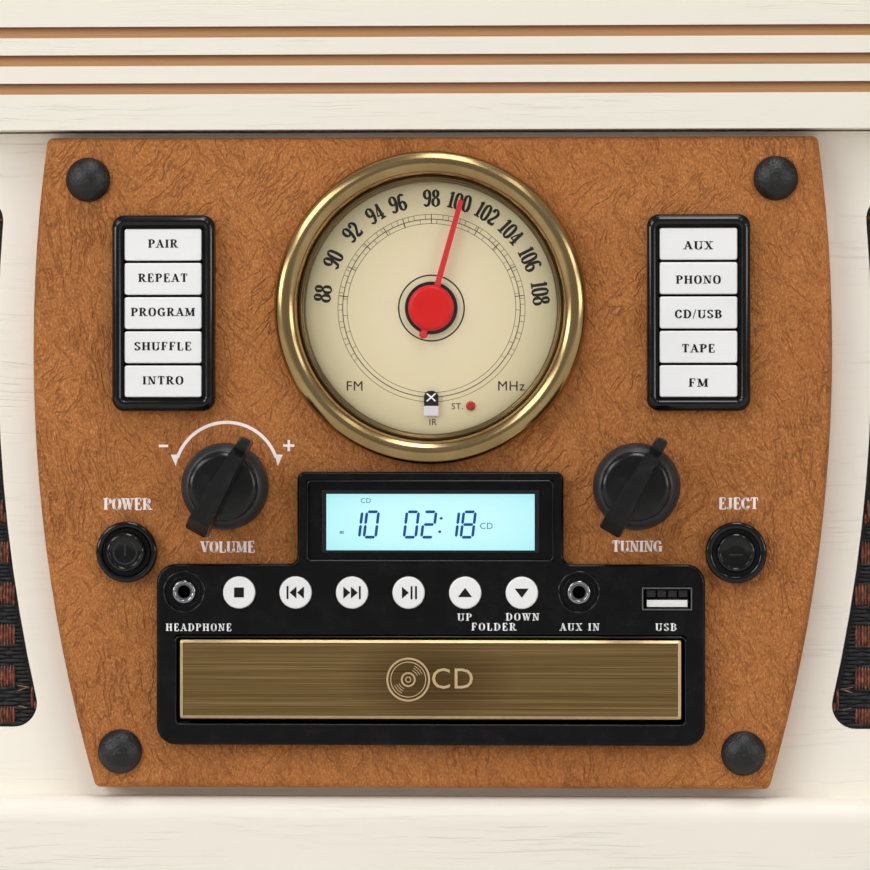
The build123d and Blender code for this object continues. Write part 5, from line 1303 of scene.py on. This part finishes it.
def plain_words(words, y):
    """Words in a plain sans type, from Blender's own letters."""
    made = bmesh.new()
    for word, x, z, cap in words:
        curve = bpy.data.curves.new(word, "FONT")
        curve.body = word
        curve.size = cap / CAP_SHARE
        curve.align_x = "CENTER"
        curve.align_y = "CENTER"
        curve.resolution_u = 3
        curve.space_character = 1.08
        text = bpy.data.objects.new(word, curve)
        shape = bmesh.new()
        mesh = bpy.data.meshes.new_from_object(text)
        shape.from_mesh(mesh)
        bpy.data.objects.remove(text)
        bpy.data.curves.remove(curve)
        bpy.data.meshes.remove(mesh)
        join(made, upright(shape), (x, y, z))
    return face_front(made)


small_words = plain_words(
    (("FM", -22.5, 156.0, 2.95), ("MHz", 23.3, 156.0, 2.95), ("IR", 0.4, 145.5, 1.9),
     ("ST.", 7.6, 150.1, 1.9)),
    FACE_Y - PRINT,
)
settle("dial_words", small_words, brown_ink, "cabinet")
print(len(NUMBERS), "numbers on the dial")

# %% Glint across the remote eye
# painted reflection: two white strokes stand in for the glint on the eye
EYE = Vector((0, FACE_Y - 1.2 - PRINT, dial.z - 26.1))
eye_glint = bmesh.new()
for turn, lift in ((0.85, CLEAR), (-0.85, 0)):
    join(eye_glint, bar(0.42, 3.4), EYE - Vector((0, lift, 0)), turn)
settle_print("remote_eye_glint", eye_glint, white_ink, "cabinet")
print("glint crossed")

# %% Round end of the pointer's tail
NUB_REACH = 8.0
nub = bmesh.new()
back = Vector((-math.sin(POINTER_LEAN), 0, -math.cos(POINTER_LEAN)))
nub_place = Vector((dial.x, PANEL_Y + 0.05, dial.z)) + back * NUB_REACH
join(nub, spun([(1.3, 0), (1.3, 0.35), (1.1, 0.62), (0.7, 0.75), (0, 0.8)], 24), nub_place)
settle("pointer_nub", nub, red_plastic, "dial_pointer", smooth=True)
print("pointer's tail rounded")

# %% [markdown]
# ## Digits on the display
#
# Liquid-crystal digits are seven separate bars, slanted a little. Which bars are dark
# makes the number, so a digit is the list of its bars.

# %% Digits
BARS = {"0": "abcdef", "1": "bc", "2": "abged", "8": "abcdefg"}
DIGIT_TALL, DIGIT_WIDE, BAR_WIDE = 7.4, 3.4, 0.82
SLANT = 0.12
GLASS_Y = FASCIA_Y + 2.6
LCD_Z = 115.7
READING = (("1", -22.1), ("0", -17.3), ("0", -5.6), ("2", -0.5), ("1", 6.2), ("8", 11.0))


def segment(length, width):
    """Bar with pointed ends, lying level."""
    shape = bar(length, width)
    bmesh.ops.bevel(shape, geom=shape.verts, offset=width * 0.42, segments=1, profile=0.5,
                    affect="VERTICES", material=-1)
    return shape


def digit(number):
    half, wide = DIGIT_TALL / 2, DIGIT_WIDE / 2
    places = {
        "a": (0, half, 0), "b": (wide, half / 2, 1), "c": (wide, -half / 2, 1), "g": (0, 0, 0),
        "d": (0, -half, 0), "e": (-wide, -half / 2, 1), "f": (-wide, half / 2, 1),
    }
    made = bmesh.new()
    for name in BARS[number]:
        x, z, stands = places[name]
        length = half - 0.3 if stands else DIGIT_WIDE - 0.45
        join(made, segment(length, BAR_WIDE), (x, 0, z), math.pi / 2 if stands else 0)
    for vert in made.verts:
        vert.co.x += vert.co.z * SLANT
    return made


lcd = bmesh.new()
for number, x in READING:
    join(lcd, digit(number), (x, GLASS_Y - PRINT, LCD_Z))
for x, z in ((3.1, 117.5), (2.7, 113.6)):
    join(lcd, segment(0.95, 0.85), (x, GLASS_Y - PRINT, z))
lcd_ink = ink_finish("display_ink", linear(20, 78, 156), linear(32, 96, 172), 0.3)
settle_print("display_digits", lcd, lcd_ink, "cabinet")
small_lcd = plain_words((("CD", -18.9, 122.6, 1.5), ("CD", 16.3, 115.2, 1.9)), GLASS_Y - PRINT)
for n in range(3):
    join(small_lcd, bar(0.28, 0.9), (-26.4 + n * 0.42, GLASS_Y - PRINT, 113.4))
pale_ink = ink_finish("display_pale_ink", linear(58, 122, 158), linear(86, 150, 180), 0.3)
settle_print("display_marks", small_lcd, pale_ink, "cabinet")
print("display reads 10 02:18")

# %% [markdown]
# ## Knobs
#
# A knob is two forms: a round skirt with a polished dome, which is a profile spun about the
# spindle, and a tapered bar across it. The bar is a box whose end faces are pushed into
# shape, and its edges are bevelled so that light runs along them as a thin line.

# %% Knob shapes
KNOB_X, KNOB_Z = 60.1, 126.8
DOME_TOP = 12.0  # ahead of the panel, like the bar's foot and reach
BAR_FOOT, BAR_REACH = 8.5, 24.0
BAR_TAIL, BAR_TAIL_HALF = -15.2, 3.45
BAR_TIP, BAR_TIP_HALF = 16.0, 1.7
TIP_DROP, TAIL_DROP = 4.0, 6.0  # how far the ends fall back from the bar's front
TIP_BEND, TAIL_BEND = (BAR_TIP - 5.0, BAR_TIP - 3.4), BAR_TAIL + 3.0
SKIRT = [
    (0, 0.1), (12.3, 0.1), (12.75, 0.6), (12.75, 3.6), (12.6, 4.8), (12.2, 6.1), (11.6, 7.2),
    (10.9, 8.0), (10.35, 8.5), (10.15, 8.5), (10.1, 8.8),
]


def knob_skirt():
    """Skirt, then the rolled edge of the disc in its middle."""
    edge = [(8.1 + out, 9.9 + ahead) for out, ahead in arc_points(2.0, 1.6, 0, 90, 8)]
    shape = spun(SKIRT + edge + [(5.0, 11.7), (0, 11.8)])
    for face in shape.faces:
        face.smooth = True
    return shape


def knob_bar():
    """A box pushed into a tapered bar whose ends slope back."""
    shape = bmesh.new()
    bmesh.ops.create_cube(shape, size=1.0)
    for vert in shape.verts:
        tip = vert.co.z > 0
        half = BAR_TIP_HALF if tip else BAR_TAIL_HALF
        ahead = BAR_REACH if vert.co.y < 0 else BAR_FOOT
        vert.co = ((1 if vert.co.x > 0 else -1) * half, -ahead, BAR_TIP if tip else BAR_TAIL)
    for z in (*TIP_BEND, TAIL_BEND):
        whole = shape.verts[:] + shape.edges[:] + shape.faces[:]
        bmesh.ops.bisect_plane(shape, geom=whole, plane_co=(0, 0, z), plane_no=(0, 0, 1))
    for vert in shape.verts:
        if vert.co.y < -BAR_FOOT - 1:
            if vert.co.z > sum(TIP_BEND) / 2:
                vert.co.y += TIP_DROP
            if vert.co.z < (BAR_TAIL + TAIL_BEND) / 2:
                vert.co.y += TAIL_DROP
    sharp = [e for e in shape.edges if e.calc_face_angle(0) > 0.3]
    rounded = bmesh.ops.bevel(shape, geom=sharp, offset=0.75, segments=4, profile=0.5,
                              affect="EDGES", material=-1)
    for face in rounded["faces"]:
        face.smooth = True
    bmesh.ops.recalc_face_normals(shape, faces=shape.faces)
    return shape


print("knobs can be made")


# %% Knob finish and pieces
def knob_finish():
    """Polished where the dome is, satin on the skirt and the bar."""
    finish = Finish("knob_black")
    finish.mirror_level(0.4)
    place = finish.place()
    x, y, z = finish.axes(place, "XYZ")
    x, y, z = abs(x) - KNOB_X, PANEL_Y - y, z - KNOB_Z
    out = from_zero(x, z)
    dome = (out < 10.3) * (y < DOME_TOP)
    beam = y > DOME_TOP
    fine = finish.noise(place, 1500.0, 3.0, 0.6)
    dust = finish.noise(place, 240.0, 4.0, 0.7)
    tone = finish.mix(dome + beam, linear(36, 38, 40), linear(9, 9, 10))
    tone = finish.mix(dust.between(0.5, 0.8) * 0.25, tone, linear(58, 62, 66))
    finish.set(base_color=tone)
    finish.set(roughness=0.4 - dome * 0.2 - beam * 0.12 + dust * 0.06)
    finish.set(normal=finish.bump(fine, 0.12, 0.04))
    return finish


knob_black = knob_finish()
for name, side, lean in (("volume_knob", -1, 28.8), ("tuning_knob", 1, 29.8)):
    knob = knob_skirt()
    join(knob, knob_bar())
    placed = bmesh.new()
    join(placed, knob, (side * KNOB_X, PANEL_Y, KNOB_Z), math.radians(lean))
    piece = settle(f"{name}_cap", placed, knob_black, name)
    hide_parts(name)
print("two knobs")

# %% [markdown]
# ## Speaker cloth
#
# The cloth is a coarse tweed: bundles of five rust yarns run up over a ground of dark
# level yarns, and each column of bundles starts half a step below its neighbour. Pale
# threads cross beside the bundles. Yarns are modelled one by one, because a bump would
# look flat from the side. Every yarn float is the same closed, pointed rod that dips into
# the backing at both ends.

# %% Outline of the opening
grille_low, grille_high = span("grille_panels")
CURVE_RADIUS, CURVE_CENTRE, WAIST_Z = 466.8, -338.1, 166.7
CORNER_IN, CORNER_OUT = 7.0, 16.0
CLOTH_Y = grille_low.y


def curve_x(z):
    """Inner side of the opening, which follows the bowed side of the panel."""
    return CURVE_CENTRE + math.sqrt(CURVE_RADIUS**2 - (z - WAIST_Z) ** 2)


def round_off(z, radius):
    """How far a rounded corner draws the side in at height z."""
    rise = max(0.0, radius - min(z - grille_low.z, grille_high.z - z))
    return radius - math.sqrt(max(0.0, radius**2 - min(rise, radius) ** 2))


def reach(z):
    """Where the cloth starts and ends at height z."""
    return curve_x(z) + round_off(z, CORNER_IN), grille_high.x - round_off(z, CORNER_OUT)


EDGE_TUCK = 0.02  # the sheet's first and last rows stay this far inside


def cloth_sheet():
    shape = bmesh.new()
    bmesh.ops.create_grid(shape, x_segments=1, y_segments=64, size=0.5)
    tall = grille_high.z - grille_low.z
    for vert in shape.verts:
        z = grille_low.z + (vert.co.y + 0.5) * tall
        z = min(max(z, grille_low.z + EDGE_TUCK), grille_high.z - EDGE_TUCK)
        vert.co = (reach(z)[vert.co.x > 0], CLOTH_Y - 0.12, z)
    return shape


area = sum(face.calc_area() for face in cloth_sheet().faces)
print("cloth area", round(area), "square millimetres")


# %% One yarn float
def yarn_float(length, width, rise):
    """Closed rod that lies level, thick in the middle and pressed in at its ends."""
    shape = bmesh.new()
    bmesh.ops.create_uvsphere(shape, u_segments=6, v_segments=5, radius=1.0)
    for vert in shape.verts:
        along = vert.co.z
        swell = 1 - abs(along) ** 3
        around = Vector((vert.co.x, vert.co.y, 0))
        if around.length > 0.001:
            around = around.normalized() * swell**0.5
        ahead = around.x * rise / 2 - swell * rise * 0.4
        vert.co = (along * length / 2, ahead, around.y * width / 2)
    return shape


print("one yarn can be made")

# %% Bundles, ground yarns and loose threads
BUNDLE_PITCH, COLUMN_PITCH, BUNDLE_TALL = 12.2, 9.05, 7.4
FIRST_BUNDLE = (125.8, 58.4)
BUNDLE_YARNS, YARN_PITCH, GROUND_PITCH = 5, 0.88, 1.15
CUTS = 16  # a bundle may end at any of these parts of its height


def bundles(columns):
    """Column and middle height of each bundle, every other column half a step up."""
    for column in range(-1, columns):
        for row in range(-1, 14):
            yield column, FIRST_BUNDLE[1] + BUNDLE_PITCH * (row + 0.5 * (column % 2))


def inside(x, z, margin_x, margin_z):
    """True where a place is on the cloth, clear of its edges."""
    if not grille_low.z + margin_z < z < grille_high.z - margin_z:
        return False
    return reach(z)[0] + margin_x < x < reach(z)[1] - margin_x


def rust_yarns():
    shape = bmesh.new()
    for column, middle in bundles(12):
        for yarn in range(BUNDLE_YARNS):
            x = FIRST_BUNDLE[0] + COLUMN_PITCH * column + (yarn - 2) * YARN_PITCH
            steps = [middle + (n - CUTS / 2) * BUNDLE_TALL / CUTS for n in range(CUTS + 1)]
            steps = [z for z in steps if inside(x, z, 0.4, 0.1)]
            if len(steps) > 2:
                rod = yarn_float(steps[-1] - steps[0], 0.92, 1.15)
                place = (x, CLOTH_Y - 0.25, (steps[0] + steps[-1]) / 2)
                join(shape, rod, place, math.pi / 2)
    return shape


def ground_yarns():
    shape = bmesh.new()
    rows = int((grille_high.z - grille_low.z - 0.6) / GROUND_PITCH)
    for row in range(rows):
        z = grille_low.z + 0.7 + row * GROUND_PITCH
        start, end = reach(z)
        first = start + 0.3 - (row % 2) * COLUMN_PITCH / 2
        while first < end - 1:
            low, high = max(first, start + 0.2), min(first + COLUMN_PITCH, end - 0.2)
            if high - low > 0.8:
                rod = yarn_float(high - low, GROUND_PITCH * 0.96, 0.8)
                join(shape, rod, ((low + high) / 2, CLOTH_Y - 0.15, z))
            first += COLUMN_PITCH
    return shape


PALE_THREADS = ((3.2, -0.16), (2.4, 0.34), (-2.9, -0.28))  # rise and lean


def pale_yarns():
    shape = bmesh.new()
    for column, middle in bundles(11):
        x = FIRST_BUNDLE[0] + COLUMN_PITCH * (column + 0.5)
        for n, (rise, lean) in enumerate(PALE_THREADS):
            if inside(x, middle + rise, 2.6, 2):
                rod = yarn_float(4.2 - n * 0.6, 0.3, 0.4)
                join(shape, rod, (x, CLOTH_Y - 0.62, middle + rise), lean)
    return shape


print("yarns can be laid")


# %% Yarn colours and the two cloths
def yarn_finish(name, tones, along):
    finish = Finish(name, roughness=0.72)
    place = finish.place()
    strand = finish.noise(finish.stretch(place, *along), 1.0, 3.0, 0.6)
    fibre = finish.noise(place, 1500.0, 2.0, 0.7)
    stops = [(at, linear(*tone)) for at, tone in zip((0.36, 0.5, 0.64), tones)]
    colour = finish.ramp(strand * 0.7 + fibre * 0.3, *stops)
    finish.set(base_color=colour, normal=finish.bump(fibre, 0.4, 0.08))
    return finish


RUST_TONES = ((48, 20, 14), (104, 52, 33), (158, 96, 68))
GROUND_TONES = ((6, 6, 7), (14, 14, 17), (52, 52, 58))
PALE_TONES = ((92, 68, 54), (146, 112, 88), (186, 152, 124))
BACKING_TONES = ((14, 13, 14), (22, 21, 22), (34, 32, 32))
rust_yarn = yarn_finish("rust_yarn", RUST_TONES, (900, 900, 420))
ground_yarn = yarn_finish("navy_yarn", GROUND_TONES, (520, 300, 1100))
pale_yarn = yarn_finish("pale_yarn", PALE_TONES, (600, 600, 600))
backing = yarn_finish("cloth_backing", BACKING_TONES, (700, 700, 700))
LAYERS = (
    ("speaker_cloth", cloth_sheet, backing),
    ("rust_yarns", rust_yarns, rust_yarn),
    ("ground_yarns", ground_yarns, ground_yarn),
    ("pale_yarns", pale_yarns, pale_yarn),
)
for side, name in ((-1, "left"), (1, "right")):
    for label, shape_of, finish in LAYERS:
        shape = shape_of()
        bmesh.ops.scale(shape, vec=(side, 1, 1), verts=shape.verts)
        if label == "speaker_cloth":
            face_front(shape)
        else:
            bmesh.ops.recalc_face_normals(shape, faces=shape.faces)
        piece = settle(f"{label}_{name}", shape, finish, "cabinet", smooth=True)
    width = (grille_high.x - curve_x(grille_low.z)) * MM
    tall = (grille_high.z - grille_low.z) * MM
    area * MM * MM
print("cloth on both grilles")

# %% [markdown]
# ## Dial ring
#
# The brass ring is a half-round bead with a channel inside it and a thin lip that holds
# the cover; the brass finish paints shade into the channel. One profile spun about the
# middle gives all three, and the finer steps make the highlights run smoothly.

# %% Dial ring
BEAD_RADIUS = BEZEL_RADIUS - 2.5
CHANNEL_RADIUS = BEZEL_RADIUS - 6.0
CHANNEL = [  # out from the channel's radius, and ahead of the panel
    (-0.1, 1.2), (-0.35, 1.1), (-0.45, 1.75), (-0.65, 1.9), (-0.95, 1.9), (-1.1, 1.7),
    (-1.15, 0.7), (-1.75, 0.4), (-1.9, 0.55), (-2.0, 0.3), (-2.0, -2.42), (0.9, -2.42),
    (0.9, 0.03),
]


def dial_ring():
    bead = [(BEAD_RADIUS + out, 3.2 + ahead) for out, ahead in arc_points(3.4, 3.3, 0, 180, 20)]
    channel = [(CHANNEL_RADIUS + out, ahead) for out, ahead in CHANNEL]
    return spun(bead + channel + [(BEZEL_RADIUS + 0.9, 0.03), bead[0]], 144)


ring_shape = bmesh.new()
join(ring_shape, dial_ring(), (dial.x, PANEL_Y, dial.z))
ring_piece = settle("dial_ring", ring_shape, polished_brass, "cabinet", smooth=True)
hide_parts("dial_bezel")
print("dial ring spun")

# %% [markdown]
# ## Rounded frames
#
# The frames round the keys, the window round the display and the lip of the drawer slot
# are the same thing at different sizes: a rounded rectangle whose section is a low hump.
# Loops of the rectangle at different sizes and depths are bridged into one ring.


# %% Loops and bridges
def rounded_loop(width, height, corner, ahead):
    """Outline of a rounded rectangle on the XZ plane, moved ahead of the panel."""
    shape = bar(width, height)
    bmesh.ops.bevel(shape, geom=shape.verts[:], offset=corner, segments=6, profile=0.5,
                    affect="VERTICES", material=-1)
    bmesh.ops.delete(shape, geom=shape.faces[:], context="FACES_ONLY")
    bmesh.ops.translate(shape, vec=(0, -ahead, 0), verts=shape.verts)
    return shape


SMALLEST_CORNER = 0.35


def frame_ring(width, height, corner, section):
    """Ring whose section is a list of (inset from the outline, distance ahead)."""
    shape = bmesh.new()
    loops = []
    for inset, ahead in section:
        known = set(shape.edges)
        radius = max(corner - inset, SMALLEST_CORNER)
        join(shape, rounded_loop(width - 2 * inset, height - 2 * inset, radius, ahead))
        shape.edges.ensure_lookup_table()
        loops.append([edge for edge in shape.edges if edge not in known])
    for outer, inner in zip(loops, loops[1:]):
        bmesh.ops.bridge_loops(shape, edges=outer + inner)
    bmesh.ops.recalc_face_normals(shape, faces=shape.faces)
    return shape


def hump(width, height, steps=8):
    """Half-round section: insets from 0 to width, rising to height."""
    arc = arc_points(-width / 2, height, 0, 180, steps)
    return [(width / 2 + inset, rise) for inset, rise in arc]


print("frames can be made")


# %% Frames round the keys, the display and the drawer slot
FRAME_MARGIN, FRAME_BASE = 7.4, 2.9
KEY_FRAME = (
    [(-0.02, 0.05)]
    + [(inset, FRAME_BASE + rise) for inset, rise in hump(3.35, 1.95, 12)]
    + [(3.36, 1.0)]
)
for name in ("left", "right"):
    middle = (centre(f"{name}_key_1") + centre(f"{name}_key_5")) / 2
    low = span(f"{name}_key_5")[0]
    high = span(f"{name}_key_1")[1]
    wide, tall = high.x - low.x + FRAME_MARGIN, high.z - low.z + FRAME_MARGIN
    shape = bmesh.new()
    join(shape, frame_ring(wide, tall, 3.9, KEY_FRAME), (middle.x, PANEL_Y, middle.z))
    settle(f"key_frame_{name}", shape, gloss_black, "cabinet", smooth=True)
BEADS = (  # width, height, bead's width and rise, x and z
    (149.3, 26.2, (0.55, 0.3), drawer.x, 70.15),
    (72.3, 23.9, (0.6, 0.35), 0, 116.75),
)
trims = bmesh.new()
for wide, tall, section, x, z in BEADS:
    join(trims, frame_ring(wide, tall, 1.6, hump(*section)), (x, FASCIA_Y, z))
settle("fascia_beads", trims, gloss_black, "cabinet", smooth=True)
print("frames bridged")

# %% [markdown]
# ## Sockets and small contacts
#
# A bright rolled ring sits round each jack, in a dish with a polished edge. The memory
# socket has four dark springs above its white tongue.

# %% Jack rings, dish edges and springs
def torus(radius, ahead, half_width, half_rise, steps):
    loop = arc_points(half_width, half_rise, 0, 360, 12)
    return spun([(radius + out, ahead + rise) for out, rise in loop], steps)


dishes = bmesh.new()
rings = bmesh.new()
for x, z in JACKS:
    place = Vector((x, FASCIA_Y, z))
    join(rings, torus(2.85, 0.15, 0.55, 0.5, 48), place)
    join(dishes, torus(5.9, 0, 0.3, 0.25, 64), place)
    join(dishes, torus(4.5, -0.85, 0.2, 0.2, 64), place)
nickel = metal_finish("bright_nickel", linear(168, 169, 172), linear(120, 122, 126), 0.16)
settle("jack_rings", rings, nickel, "cabinet", smooth=True)
settle("jack_dish_edges", dishes, gloss_black, "cabinet", smooth=True)
SPRING_PITCH = 3.1
spring_grey = ink_finish("spring_grey", linear(44, 44, 46), linear(26, 26, 28), 0.35)
springs = bmesh.new()
for n in range(4):
    place = USB + Vector(((n - 1.5) * SPRING_PITCH, FASCIA_Y + 0.9, 1.45))
    join(springs, raised(bar(2.5, 1.9), 0.5), place)
settle("usb_springs", springs, spring_grey, "cabinet")
print("sockets detailed")

# %% [markdown]
# ## Raised signs
#
# The power and eject buttons carry their signs as raised lines of black plastic, painted a
# lighter grey as a highlight, and the drawer front has a raised emblem of a disc with two
# letters. Flat shapes are extruded a little way to the front.

# %% Power and eject buttons and their signs
COLLAR = [
    (8.96, -0.6), (8.96, 0.0), (8.8, 0.6), (8.4, 0.9), (7.9, 0.98), (7.2, 0.9), (6.9, 0.6),
    (6.7, 0.0), (6.66, -0.6),
]
CAP_CLEARANCE = 0.03
# painted highlight: the signs are lighter grey than the button, standing in for light on their
# raised lines
sign_grey_highlight = black_finish("sign_grey_highlight", linear(46, 48, 51), 0.3, 900.0, 0.1)
SIGN_LINES = {  # flat shape, how far it is raised, and how far above the middle it lies
    "power": ((ring(3.4, 0.5, 24, 312), 0.25, 0.0), (bar(0.55, 3.6), 0.28, 0.7)),
    "eject": ((bar(4.0, 0.5), 0.25, -0.6),),
}
for name, lines in SIGN_LINES.items():
    node = f"{name}_button"
    front = front_middle(node)
    collar = bmesh.new()
    join(collar, spun(COLLAR, 64), (front.x, PANEL_Y - 2.4, front.z))
    settle(f"{name}_collar", collar, gloss_black, "cabinet", smooth=True)
    radius = half_size(node).x - CAP_CLEARANCE
    edge = [(radius - 1 + out, ahead) for out, ahead in arc_points(1, 1, 0, 90, 6)]
    profile = [(radius, -0.4)] + edge + [(4.95, 0.94), (4.4, 0.7), (2.0, 0.62), (0, 0.6)]
    cap = bmesh.new()
    join(cap, spun(profile, 48), front + Vector((0, 0.45, 0)))
    settle(f"{name}_cap", cap, gloss_black, node, smooth=True)
    sign = bmesh.new()
    for flat, height, rise in lines:
        join(sign, raised(flat, height), front + Vector((0, -0.1, rise)))
    settle(f"{name}_sign", sign, sign_grey_highlight, node)
    print(name, "button radius", round(radius, 2))

# %% Disc emblem on the drawer
emblem_brass = metal_finish("emblem_brass", linear(232, 202, 158), linear(196, 164, 118), 0.34)
emblem_brass.set(metallic=0.6)
front = front_middle("cd_tray_front")
disc = front + Vector((-6.3, 0.02, 0))
emblem = bmesh.new()
for radius, width in ((6.1, 0.55), (5.1, 0.26), (1.9, 0.5), (0.75, 0.3)):
    join(emblem, raised(ring(radius, width), 0.25), disc)
for start in (25, 205):
    for radius in (2.9, 3.6, 4.3):
        join(emblem, raised(ring(radius, 0.2, start, 42, 12), 0.22), disc)
join(emblem, raised(plain_words((("CD", front.x + 6.6, front.z, 6.2),), disc.y), 0.25))
settle("drawer_emblem", emblem, emblem_brass, "disc_drawer")
# painted highlight: the rim is paler brass, standing in for light on the drawer's bevelled edge
rim_brass_highlight = metal_finish("pale_rim_highlight", linear(214, 184, 138), linear(180, 150, 104), 0.36)
rim_brass_highlight.set(metallic=0.8)
RIM = [(0, -1.1), (0.05, -0.5), (0.8, 0.02), (0.9, -0.02)]
wide, tall = 2 * drawer_half.x + 0.1, 2 * drawer_half.z + 0.1
rim = bmesh.new()
join(rim, frame_ring(wide, tall, 0.8, RIM), front)
settle("drawer_rim", rim, rim_brass_highlight, "disc_drawer")
print("signs raised")
